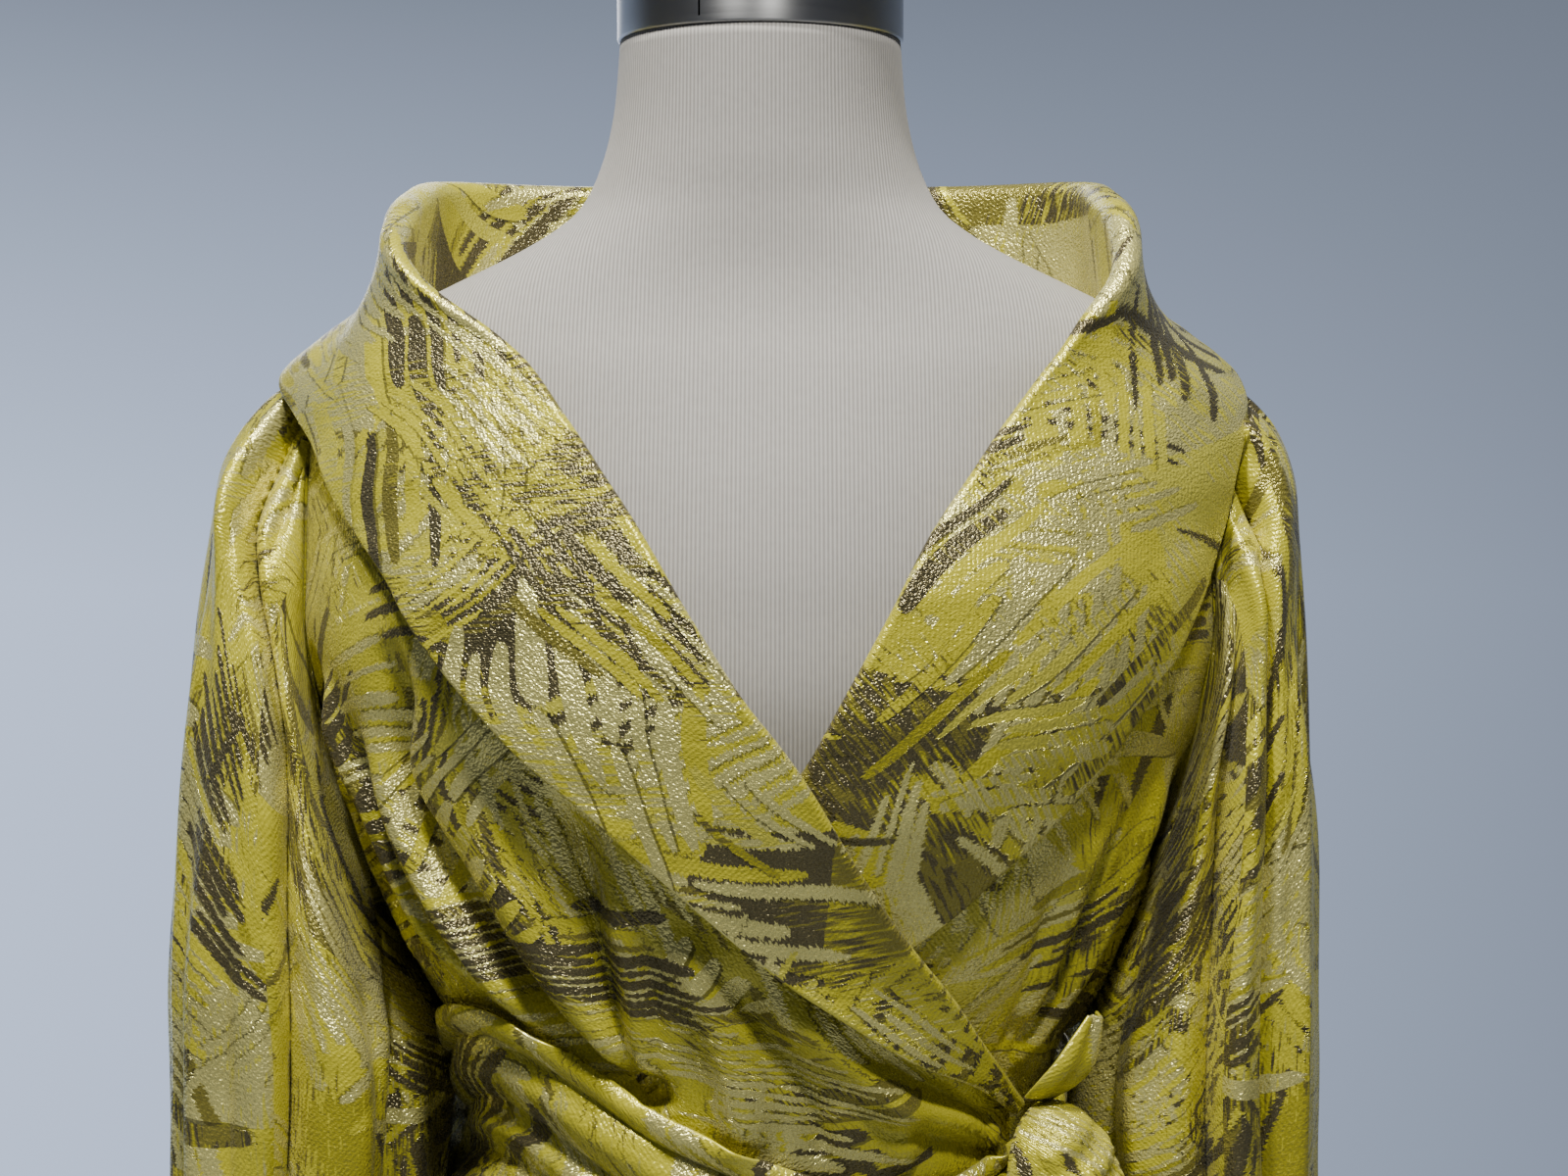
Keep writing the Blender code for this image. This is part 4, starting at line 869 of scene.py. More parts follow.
@dataclass(frozen=True)
class RibbedJersey(Finish):
    """Knitted off-white cotton cover: fine upright ribs, matt, a little soiled by use."""

    name: str = "ribbed_jersey"
    slot: str = "linen_cover"
    # Ribs lie 1.5 mm apart in the photograph; they are drawn a little coarser so that they show
    rib_mm: float = 1.7
    ridge: str = "bfbcb7"
    # Darker colour of the grooves between the ribs: painted shade; the ridge colour is the yarn's own
    groove_shade: str = "928e89"

    def shader(self, add: Adder) -> dict[str, object]:
        """Adds ribs with painted shade in their grooves, a slight mottle and a matt surface."""
        place = add("Attribute", attribute_name="cloth").outputs["Vector"]
        rib = add(
            "TexWave",
            {"Vector": place, "Scale": 100 * pi / self.rib_mm, "Distortion": 0.25, "Detail Scale": 0.4},
            wave_type="BANDS", bands_direction="X", wave_profile="SIN",
        )
        mottle = add("TexNoise", {"Vector": place, "Scale": 260, "Detail": 2})
        cloud = add("TexNoise", {"Vector": place, "Scale": 9, "Detail": 2})
        tone = add("Math", [mottle, 0.35, rib.outputs[1]], operation="MULTIPLY_ADD")
        tone = add("MapRange", [tone, 0.05, 1.15])
        colour = add("Mix", {0: tone, 6: linear(self.groove_shade), 7: linear(self.ridge)}, data_type="RGBA")
        soiled = add("MapRange", [cloud, 0, 1, 0.93, 1.05])
        final = add("VectorMath", {0: colour.outputs[2], "Scale": soiled}, operation="SCALE")
        bump = add("Bump", {"Height": tone, "Strength": 0.35, "Distance": 0.0004})
        return {"Base Color": final, "Normal": bump, "Roughness": 0.78, "Sheen Weight": 0.15}


@dataclass(frozen=True)
class BrushedSteel(Finish):
    """Spun and brushed stainless steel: scratches round the cap draw its highlights out upright."""

    name: str = "spun_brushed_steel"
    slot: str = "brushed_steel"
    colour: str = "abacad"
    # Near-black of the slit: painted shade inside a slit that is not cut as a gap
    slit_shade: str = "0a0a0a"
    scratch_mm: float = 0.5
    slit_x: float = -0.0243
    slit_bottom: float = 1.5168
    slit_half_width: float = 0.0004

    def slit(self, add: Adder) -> bpy.types.Node:
        """Returns the mask of the thin upright slit in the front of the cap's band."""
        x, y, z = add("SeparateXYZ", [add("TexCoord").outputs["Object"]]).outputs
        beside = add("Math", [x, self.slit_x, self.slit_half_width], operation="COMPARE")
        front = add("Math", [y, 0], operation="LESS_THAN")
        above = add("Math", [z, self.slit_bottom], operation="GREATER_THAN")
        both = add("Math", [beside, front], operation="MULTIPLY")
        return add("Math", [both, above], operation="MULTIPLY")

    def shader(self, add: Adder) -> dict[str, object]:
        """Adds the scratches, and the slit painted near-black as the shade inside it."""
        place = add("Attribute", attribute_name="cloth").outputs["Vector"]
        lines = add("VectorMath", [place, (12, 1000 / self.scratch_mm, 0)], operation="MULTIPLY")
        scratch = add("TexNoise", {"Vector": lines, "Scale": 1, "Detail": 2})
        colours = {0: self.slit(add), 6: linear(self.colour), 7: linear(self.slit_shade)}
        return {
            "Base Color": add("Mix", colours, data_type="RGBA").outputs[2], "Metallic": 1.0,
            "Anisotropic": 0.85, "Anisotropic Rotation": 0.25,
            "Roughness": add("MapRange", [scratch, 0, 1, 0.3, 0.46]),
            "Normal": add("Bump", {"Height": scratch, "Strength": 0.2, "Distance": 0.0001}),
        }


@dataclass(frozen=True)
class BlackEnamel(Finish):
    """Powder-coated steel: a satin black with a faint orange-peel texture."""

    name: str = "satin_black_enamel"
    slot: str = "black_enamel"
    colour: str = "1c1c1e"
    peel_mm: float = 1.6

    def shader(self, add: Adder) -> dict[str, object]:
        """Adds the orange-peel texture."""
        place = add("TexCoord").outputs["Object"]
        peel = add("TexNoise", {"Vector": place, "Scale": 1000 / self.peel_mm, "Detail": 1})
        bump = add("Bump", {"Height": peel, "Strength": 0.2, "Distance": 0.0002})
        return {"Base Color": linear(self.colour), "Roughness": 0.42, "Normal": bump}


@dataclass(frozen=True)
class StudioPaint(Finish):
    """Matt floor paint, pale and even."""

    name: str = "studio_paint"
    colour: str = "b9bdc6"
    cloud_colour: str = "b4b8c1"

    def shader(self, add: Adder) -> dict[str, object]:
        """Sets one pale, matt colour with a faint cloud in it."""
        cloud = add("TexNoise", {"Scale": 1.5, "Detail": 2})
        colours = {0: cloud, 6: linear(self.cloud_colour), 7: linear(self.colour)}
        return {"Base Color": add("Mix", colours, data_type="RGBA").outputs[2], "Roughness": 0.9}


JACQUARD = MetallicJacquard()


def finish_cloth(
    thing: bpy.types.Object, cut: Cut
) -> bpy.types.Object:
    """Dresses a piece of cloth, hides its plain solid and logs its faces and area of cloth.

    Args:
        thing: the piece, named as its solid with "_cloth" at the end.
        cut: its flat size; not used.

    Returns:
        The same object.
    """
    JACQUARD.dress(thing)
    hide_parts(thing.name.removesuffix("_cloth"))
    faces = thing.data.polygons
    area = sum(face.area for face in faces) / 2
    LOG.info("%s: %d faces, %.4f m2 of cloth", thing.name, len(faces), area)
    return thing


# The dress form and its stand


@dataclass(frozen=True)
class DressForm:
    """The padded torso, its neck cap and the stand."""

    columns: int = 144
    row_step: float = 0.0045
    cap_radius: float = 0.0612
    cap_height: float = 0.030
    cap_dome: float = 0.004
    cap_edge: float = 0.0020
    cap_lip: float = 0.0012
    cap_gap: float = 0.0003
    lean_from_z: float = 1.450

    @property
    def around(self) -> Array:
        """Returns the azimuths of a ring's points."""
        return np.arange(self.columns) * 360.0 / self.columns - 180.0

    def torso(self) -> bpy.types.Object:
        """Returns the torso with its ribbed cover."""
        rows = round((NECK_TOP_Z - FORM_BOTTOM_Z) / self.row_step)
        z = np.linspace(NECK_TOP_Z, FORM_BOTTOM_Z, rows + 1)[:, None]
        deg = self.around[None, :]
        rings = FORM.point(deg + 0 * z, z + 0 * deg)
        lean = smooth((rings[..., 2] - self.lean_from_z) / (NECK_TOP_Z - self.lean_from_z))
        rings[..., 2] += rings[..., 1] * tan(radians(NECK_TILT)) * lean
        thing = RibbedJersey().dress(solid("form_torso_cover", rings))
        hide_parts("form_torso")
        return thing

    def cap(self) -> bpy.types.Object:
        """Returns the brushed cap on top of the neck."""
        top, edge, radius, lip = self.cap_height, self.cap_edge, self.cap_radius, self.cap_lip
        swing, dome = np.linspace(0.0, pi / 2, 5), np.linspace(0.02, 0.96, 8)
        profile = [(radius * r, top + self.cap_dome * (1 - r * r)) for r in dome]
        profile += [(radius - edge + edge * sin(a), top - edge + edge * cos(a)) for a in swing]
        profile += [(radius, mix(top - edge, 2.5 * lip, k / 6)) for k in range(1, 6)]
        profile += [
            (radius - lip + lip * cos(a), lip + self.cap_gap - lip * sin(a)) for a in swing
        ]
        profile += [(radius * r, self.cap_gap) for r in (0.90, 0.5, 0.02)]
        turn = np.radians(self.around)
        rings = np.array([
            np.stack([r * np.sin(turn), -r * np.cos(turn), z + 0 * turn], axis=-1) for r, z in profile
        ])
        lean = radians(NECK_TILT)
        y, z = rings[..., 1].copy(), rings[..., 2].copy()
        rings[..., 1], rings[..., 2] = y * cos(lean) - z * sin(lean), y * sin(lean) + z * cos(lean)
        rings[..., 2] += NECK_TOP_Z
        thing = BrushedSteel().dress(solid("neck_cap_shell", rings))
        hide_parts("neck_cap")
        return thing

    def stand(self) -> list[bpy.types.Object]:
        """Returns the pole and base, which keep their solids and get their enamel."""
        enamel = BlackEnamel().material()
        nodes = [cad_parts[name] for name in ("stand_pole", "stand_base")]
        for node in nodes:
            for spot in node.material_slots:
                spot.material = enamel
        return nodes

    def build(self) -> list[bpy.types.Object]:
        """Builds the form and stand."""
        return [self.torso(), self.cap(), *self.stand()]


# The shawl collar


class CollarRow(NamedTuple):
    """A section across the collar: its seam, the roll that it rises to, and its outer edge."""

    seam_deg: float
    seam_z: float
    roll_deg: float
    roll_z: float
    rise: float
    upright: float
    edge_deg: float
    edge_z: float
    edge_lift: float


OVER_COLLAR = rows_of(
    CollarRow,
    (48.8, 1.0808, 50, 1.0828, 0.0022, 0, 48.6, 1.0802, 0.003),
    (41, 1.0944, 43.2, 1.0956, 0.0026, 0, 39.5, 1.0922, 0.0034),
    (28, 1.1185, 30.7, 1.1228, 0.0028, 0, 21.8, 1.1118, 0.009),
    (13.4, 1.1575, 16.1, 1.1636, 0.0029, 0, 2.3, 1.1463, 0.01),
    (0, 1.214, 3.2, 1.22, 0.003, 0, -17.5, 1.1995, 0.01),
    (-6, 1.239, -2.7, 1.2445, 0.0031, 0, -27, 1.2265, 0.0095),
    (-12.9, 1.275, -9.5, 1.2814, 0.0031, 0, -36, 1.258, 0.0085),
    (-19.8, 1.309, -16.2, 1.3161, 0.0033, 0, -43.5, 1.2869, 0.0062),
    (-26, 1.335, -22, 1.342, 0.0036, 0.05, -51, 1.3095, 0.007),
    (-34, 1.361, -29.5, 1.3685, 0.006, 0.1, -60.5, 1.337, 0.0095),
    (-47.5, 1.383, -41, 1.3835, 0.013, 0.3, -73, 1.36, 0.016),
    (-70, 1.4035, -66, 1.403, 0.0285, 0.6, -86, 1.373, 0.0145),
    (-92, 1.409, -92, 1.41, 0.0385, 0.7, -98, 1.38, 0.012),
    (-118, 1.404, -118, 1.406, 0.0535, 0.75, -118, 1.37, 0.0095),
    (-148, 1.402, -148, 1.404, 0.059, 0.85, -146, 1.348, 0.005),
    (-180, 1.402, -180, 1.404, 0.0605, 0.9, -180, 1.34, 0.004),
)
UNDER_COLLAR = rows_of(
    CollarRow,
    (-13.5, 1.146, -16, 1.15, 0.0018, 0, -12, 1.14, 0.0026),
    (-4, 1.164, -7, 1.17, 0.0024, 0, 10, 1.136, 0.0055),
    (2.7, 1.186, -0.5, 1.192, 0.0028, 0, 22.5, 1.1515, 0.0055),
    (9, 1.2065, 5.7, 1.2132, 0.0029, 0, 33, 1.176, 0.0055),
    (13.8, 1.235, 10.5, 1.2425, 0.003, 0, 43, 1.2025, 0.0055),
    (18.7, 1.2665, 15.3, 1.2735, 0.0031, 0, 50.5, 1.2345, 0.0055),
    (23.6, 1.2945, 20, 1.302, 0.0032, 0, 58.5, 1.268, 0.0055),
    (29.2, 1.3195, 25.4, 1.3265, 0.0034, 0, 66, 1.296, 0.006),
    (35.2, 1.342, 31, 1.348, 0.004, 0.05, 70.5, 1.3275, 0.0125),
    (43.5, 1.366, 38.5, 1.3705, 0.0075, 0.15, 77, 1.352, 0.0165),
    (54.5, 1.387, 47.5, 1.3865, 0.0165, 0.3, 85, 1.368, 0.0155),
    (73, 1.404, 69.5, 1.404, 0.03, 0.6, 92.5, 1.377, 0.0135),
    (92, 1.409, 92, 1.41, 0.0385, 0.7, 99, 1.379, 0.012),
    (118, 1.404, 118, 1.406, 0.0535, 0.75, 118, 1.37, 0.0095),
    (148, 1.402, 148, 1.404, 0.059, 0.85, 146, 1.348, 0.005),
    (180, 1.402, 180, 1.404, 0.0605, 0.9, 180, 1.34, 0.004),
)


@dataclass(frozen=True)
class CollarHalf:
    """Half of the shawl collar, from its front tip to the middle of the back."""

    layer: Layer
    cut: Cut
    rows: int = 230
    stand_cells: int = 12
    roll_cells: int = 12
    leaf_cells: int = 46
    roll_radius_flat: float = 0.0022
    roll_radius_standing: float = 0.0065
    leaf_lift: float = 0.0030
    middle_gap: float = 0.0001
    # Rises between which the roll turns from flat to standing, and past which it leans off the neck
    flat_rise: float = 0.004
    standing_rise: float = 0.034
    leaning_rise: float = 0.02
    # Height of the leaf's long swell and of its small unevenness
    swell: float = 0.0011
    uneven: float = 0.0005

    @property
    def table(self) -> tuple[CollarRow, ...]:
        """Returns this half's sections."""
        return OVER_COLLAR if self.layer is Layer.OVER else UNDER_COLLAR

    def ground(self, deg: Array, z: Array) -> Array:
        """Returns points in the middle of the front's cloth beneath the collar."""
        return bodice_cloth(deg, z, self.layer.rise(deg) + BODY_WALL / 2)

    def grid(self) -> Array:
        """Returns the collar's points, a row for each section: stand, roll and leaf."""
        last, step = len(self.table) - 1, 0.02
        share = np.linspace(0.0, 1.0, self.rows + 1)
        row = read_table(self.table, share * last)
        ends = [read_table(self.table, (share + k * step) * last) for k in (-1, 1)]
        spots = [bodice_cloth(end.roll_deg, end.roll_z, end.rise) for end in ends]
        tangent = unit(spots[1] - spots[0])
        seam, base = self.ground(row.seam_deg, row.seam_z), self.ground(row.roll_deg, row.roll_z)
        normal = BODICE.normal(row.roll_deg, row.roll_z)
        upright = row.upright[:, None]
        up = unit(normal * (1 - upright) + np.array([0.0, 0.0, 1.0]) * upright)
        centre = base + up * row.rise[:, None]
        tip = centre - seam
        tip = unit(tip - tangent * dot(tip, tangent))
        out = unit(np.cross(tip, tangent))
        away = unit(centre * np.array([1.0, 1.0, 0.0]))
        guide = np.where(row.rise[:, None] > self.leaning_rise, dot(out, away), dot(out, normal))
        out = np.where(guide < 0, -out, out)
        standing_span = self.standing_rise - self.flat_rise
        standing = smooth((row.rise - self.flat_rise) / standing_span)[:, None]
        radius = mix(self.roll_radius_flat, self.roll_radius_standing, standing)
        stand_end = centre - out * radius
        along = unit(stand_end - seam)
        steep = np.abs(dot(along, BODICE.normal(row.seam_deg, row.seam_z)))
        stand_start = seam + along * (COLLAR_SEAM_GAP + BODY_WALL / 2 * steep)
        parts = [
            mix(stand_start, stand_end, k / self.stand_cells) for k in range(self.stand_cells)
        ]
        for k in range(self.roll_cells + 1):
            swing = -pi / 2 + pi * k / self.roll_cells
            parts.append(centre + tip * (radius * cos(swing)) + out * (radius * sin(swing)))
        gap = parts[-1] - (base + normal * self.leaf_lift)
        for k in range(1, self.leaf_cells + 1):
            t = (k / self.leaf_cells) ** mix(1.0, 1.25, standing[:, 0])
            deg, z = mix(row.roll_deg, row.edge_deg, t), mix(row.roll_z, row.edge_z, t)
            lift = mix(self.leaf_lift, row.edge_lift, t ** mix(1.5, 3.0, standing[:, 0]))
            lift = lift + self.wave(share, t, standing[:, 0])
            rest = self.ground(deg, z) + BODICE.normal(deg, z) * lift[:, None]
            parts.append(rest + gap * ((1 - t)[:, None]) ** (1 + 6 * standing))
        grid = np.stack(parts, axis=1)
        side = 1.0 if self.table[-1].roll_deg > 0 else -1.0
        grid[-1, :, 0] = side * self.middle_gap
        return grid

    def wave(self, share: Array, t: Array, standing: Array) -> Array:
        """Returns a soft unevenness of the leaf, none at the roll."""
        seed = 1.0 if self.layer is Layer.OVER else 2.3
        swell = self.swell * np.sin(9.0 * share + 2.0 * seed) * np.sin(pi * t)
        uneven = self.uneven * rumple(share * 0.8, t * 0.12, 0.05, seed) * t
        return (swell + uneven) * (1 - 0.4 * standing)

    def build(self) -> bpy.types.Object:
        """Builds this half."""
        over = self.layer is Layer.OVER
        shell = Shell(
            f"collar_{self.layer.value}_cloth", COLLAR_WALL, inside_out=not over, share=0.5,
            turn_of_cloth=72.0 if over else -64.0,
        )
        return finish_cloth(shell.build(self.grid()), self.cut)


# The bodice


def collar_seam(layer: Layer, share: Array) -> Array:
    """Returns azimuth and height on the neckline seam: 0 at the tip, 1 at the middle of the back."""
    table = OVER_COLLAR if layer is Layer.OVER else UNDER_COLLAR
    row = read_table(table, share * (len(table) - 1))
    return np.stack([row.seam_deg, row.seam_z], axis=-1)


def shoulder_share(layer: Layer) -> float:
    """Returns the share along the neckline seam at which it crosses the shoulder seam."""
    share = np.linspace(0.2, 1.0, 4001)
    return float(share[np.argmax(np.abs(collar_seam(layer, share)[:, 0]) >= 90.0)])


def pair(a: Array | float, b: Array | float) -> Array:
    """Returns azimuths and heights side by side in one array."""
    a, b = np.broadcast_arrays(np.asarray(a, dtype=float), np.asarray(b, dtype=float))
    return np.stack([a, b], axis=-1)


def side_edge(v: Array, side: Side, front: bool) -> Array:
    """Returns the side seam up to the underarm and then the armhole up to the shoulder tip."""
    seam_share = 0.42
    rise = np.clip(v / seam_share, 0.0, 1.0)
    turn = 180 * np.clip((v - seam_share) / (1 - seam_share), 0.0, 1.0)
    deg, z = armhole_place(-90 + turn if front else -90 - turn, side)
    on_seam = v < seam_share
    return pair(
        np.where(on_seam, side.value * 90.0, deg), np.where(on_seam, mix(WAIST_Z, UNDERARM_Z, rise), z)
    )


Edge = Callable[[Array], Array]


def patch(bottom: Edge, top: Edge, left: Edge, right: Edge, u: Array, v: Array) -> Array:
    """Fills four edges with a surface.

    Args:
        bottom: azimuths and heights along the lower edge, for places from 0 to 1.
        top: the same along the upper edge.
        left: the same up the edge at u = 0.
        right: the same up the edge at u = 1.
        u: places across, of any shape.
        v: places up, of the same shape.

    Returns:
        Azimuths and heights.
    """
    s, t = u[..., None], v[..., None]
    zero, one = np.zeros_like(u), np.ones_like(u)
    edges = mix(bottom(u), top(u), t) + mix(left(v), right(v), s)
    corners = mix(mix(bottom(zero), bottom(one), s), mix(top(zero), top(one), s), t)
    return edges - corners


@dataclass(frozen=True)
class Bodice:
    """The back and the two fronts, which lie over each other across the body."""

    back_cut: Cut
    front_cuts: dict[Layer, Cut]
    back_cells: tuple[int, int] = (150, 116)
    front_cells: tuple[int, int] = (120, 136)
    over_waist_deg: float = 52.0
    under_waist_deg: float = -40.0
    shoulder_share: float = 0.38
    waist_share: float = 0.07

    def cells(self, count: tuple[int, int]) -> tuple[Array, Array]:
        """Returns the even places of a grid, across and up."""
        across, up = count
        return np.meshgrid(np.linspace(0.0, 1.0, across + 1), np.linspace(0.0, 1.0, up + 1))

    def back_half(self, layer: Layer, u: Array, v: Array) -> Array:
        """Returns azimuths and heights on one half of the back, from its side to the middle."""
        side, cross = layer.side, shoulder_share(layer)
        turn = side.value

        def top(x: Array) -> Array:
            neck_z = collar_seam(layer, np.array(cross))[1]
            shoulder = pair(turn * 90.0, mix(SHOULDER_TIP_Z, neck_z, x / self.shoulder_share))
            past = np.clip((x - self.shoulder_share) / (1 - self.shoulder_share), 0.0, 1.0)
            neck = collar_seam(layer, mix(cross, 1.0, past))
            return np.where((x < self.shoulder_share)[..., None], shoulder, neck)

        return patch(
            lambda x: pair(turn * mix(90.0, 180.0, x), WAIST_Z),
            top,
            lambda y: side_edge(y, side, front=False),
            lambda y: pair(turn * 180.0, mix(WAIST_Z, collar_seam(layer, np.array(1.0))[1], y)),
            u, v,
        )

    def back(self) -> bpy.types.Object:
        """Builds the back in one piece."""
        u, v = self.cells(self.back_cells)
        up = 1 - (1 - v) ** 1.5
        left = self.back_half(Layer.UNDER, np.minimum(2 * u, 1.0), up)
        right = self.back_half(Layer.OVER, np.minimum(2 * (1 - u), 1.0), up)
        place = np.where((u < 0.5)[..., None], left, right)
        fine = 0.0006 * rumple(place[..., 0] * 0.0026, place[..., 1], 0.045, 0.7) * np.sin(pi * up)
        grid = bodice_cloth(place[..., 0], place[..., 1], fine, BACK_FOLDS)
        shell = Shell("bodice_back_cloth", BODY_WALL)
        return finish_cloth(shell.build(grid), self.back_cut)

    def front(self, layer: Layer) -> bpy.types.Object:
        """Builds one front."""
        u, v = self.cells(self.front_cells)
        up = 1 - (1 - v) ** 1.25
        side, cross = layer.side, shoulder_share(layer)
        waist_deg = self.over_waist_deg if layer is Layer.OVER else self.under_waist_deg

        def neckline(y: Array) -> Array:
            start = collar_seam(layer, np.zeros_like(y))
            share = np.clip(y / self.waist_share, 0, 1)[..., None]
            below = mix(pair(waist_deg + 0 * y, WAIST_Z), start, share)
            past = np.clip((y - self.waist_share) / (1 - self.waist_share), 0.0, 1.0)
            return np.where((y < self.waist_share)[..., None], below, collar_seam(layer, cross * past))

        neck_z = collar_seam(layer, np.array(cross))[1]
        place = patch(
            lambda x: pair(mix(side.value * 90.0, waist_deg, x), WAIST_Z),
            lambda x: pair(side.value * 90.0, mix(SHOULDER_TIP_Z, neck_z, x)),
            lambda y: side_edge(y, side, front=True),
            neckline,
            u, up,
        )
        deg, z = place[..., 0], place[..., 1]
        fine = 0.0005 * rumple(deg * 0.0024, z, 0.038, 1.9 * side.value) * smooth((1 - u) * 5)
        grid = bodice_cloth(deg, z, layer.rise(deg) + fine, layer.folds)
        shell = Shell(
            f"bodice_front_{layer.value}_cloth", BODY_WALL, inside_out=side is Side.LEFT,
            turn_of_cloth=20.0 * side.value,
        )
        return finish_cloth(shell.build(grid), self.front_cuts[layer])

    def build(self) -> list[bpy.types.Object]:
        """Builds the back and both fronts."""
        return [self.back(), self.front(Layer.OVER), self.front(Layer.UNDER)]


# The sleeves


class SleeveRow(NamedTuple):
    """A ring of a sleeve: its outer and inner ends, half depth and the place of its middle."""

    outer_x: float
    outer_z: float
    inner_x: float
    inner_z: float
    half_depth: float
    centre_y: float


SLEEVE_ROWS = rows_of(
    SleeveRow,
    (0.187, 1.375, 0.1745, 1.204, 0.05, 0), (0.2015, 1.3745, 0.1765, 1.1975, 0.046, -0.001),
    (0.2165, 1.3625, 0.1752, 1.1895, 0.053, -0.002), (0.225, 1.343, 0.1705, 1.18, 0.06, -0.004),
    (0.2295, 1.316, 0.1665, 1.169, 0.066, -0.006), (0.2338, 1.281, 0.1615, 1.155, 0.07, -0.009),
    (0.238, 1.237, 0.155, 1.138, 0.072, -0.013), (0.2415, 1.188, 0.146, 1.118, 0.073, -0.017),
    (0.2432, 1.138, 0.1375, 1.094, 0.073, -0.021), (0.243, 1.088, 0.1345, 1.064, 0.073, -0.024),
    (0.242, 1.033, 0.14, 1.025, 0.073, -0.025), (0.2465, 0.98, 0.153, 0.98, 0.073, -0.024),
    (0.256, 0.93, 0.171, 0.93, 0.072, -0.022), (0.267, 0.878, 0.188, 0.878, 0.067, -0.021),
    (0.272, 0.832, 0.201, 0.832, 0.054, -0.02), (0.269, 0.798, 0.211, 0.798, 0.037, -0.02),
)
RIGHT_SLEEVE_FOLDS = rows_of(
    Fold,
    (((58, 0.03), (51, 0.087), (40, 0.134), (33, 0.18), (18, 0.2), (0, 0.214), (-12, 0.255),
     (-16, 0.365), (-10, 0.495), (-6, 0.621), (-5, 0.98)), 0.0085, -0.0162, -0.3, 0.04, 0.12),
    (((72, 0.02), (64, 0.085), (54, 0.135), (48, 0.19), (38, 0.26), (26, 0.38)), 0.0075, 0.0095, 0, 0.1,
     0.4),
    (((20, 0.02), (4, 0.09), (-18, 0.14), (-30, 0.2), (-33, 0.3), (-33, 0.5), (-30, 0.95)), 0.015,
     0.0095, 0.2, 0.06, 0.2),
    (((34, 0.02), (28, 0.07), (20, 0.12), (14, 0.18)), 0.005, -0.009, 0, 0.1, 0.4),
    (((-10, 0.015), (-26, 0.06), (-42, 0.11), (-52, 0.18)), 0.005, -0.006, 0, 0.1, 0.4),
    (((-84, 0.33), (-76, 0.43), (-64, 0.52), (-60, 0.614), (-58, 0.97)), 0.008, -0.0126, 0.2, 0.2, 0.1),
    (((-92, 0.42), (-90, 0.6), (-88, 0.9)), 0.014, 0.0047),
    (((94, 0.015), (90, 0.08), (88, 0.16), (86, 0.3)), 0.006, -0.0084, 0, 0.08, 0.5),
    (((112, 0.015), (108, 0.09), (106, 0.22)), 0.0065, -0.0078, 0, 0.08, 0.5),
    (((132, 0.015), (130, 0.12), (128, 0.3), (128, 0.95)), 0.015, -0.012, 0, 0.1, 0.1),
    (((152, 0.015), (150, 0.08), (148, 0.2)), 0.0065, -0.0072, 0, 0.08, 0.5),
    (((186, 0.08), (180, 0.3), (182, 0.95)), 0.016, -0.0126),
    (((214, 0.25), (210, 0.5), (206, 0.95)), 0.007, 0.0054),
    (((60, 0.22), (62, 0.4), (60, 0.7), (62, 0.96)), 0.011, -0.0062),
    (((30, 0.42), (34, 0.56), (33, 0.76), (38, 0.96)), 0.007, 0.0057),
    (((18, 0.48), (20, 0.62), (16, 0.8)), 0.0045, -0.0031),
    (((-42, 0.46), (-45, 0.62), (-44, 0.96)), 0.006, -0.005),
    (((46, 0.3), (48, 0.5), (50, 0.9)), 0.006, 0.0043),
    (((98, 0.4), (104, 0.65), (102, 0.96)), 0.007, 0.0054),
    (((156, 0.3), (150, 0.6), (156, 0.96)), 0.007, 0.0054),
)
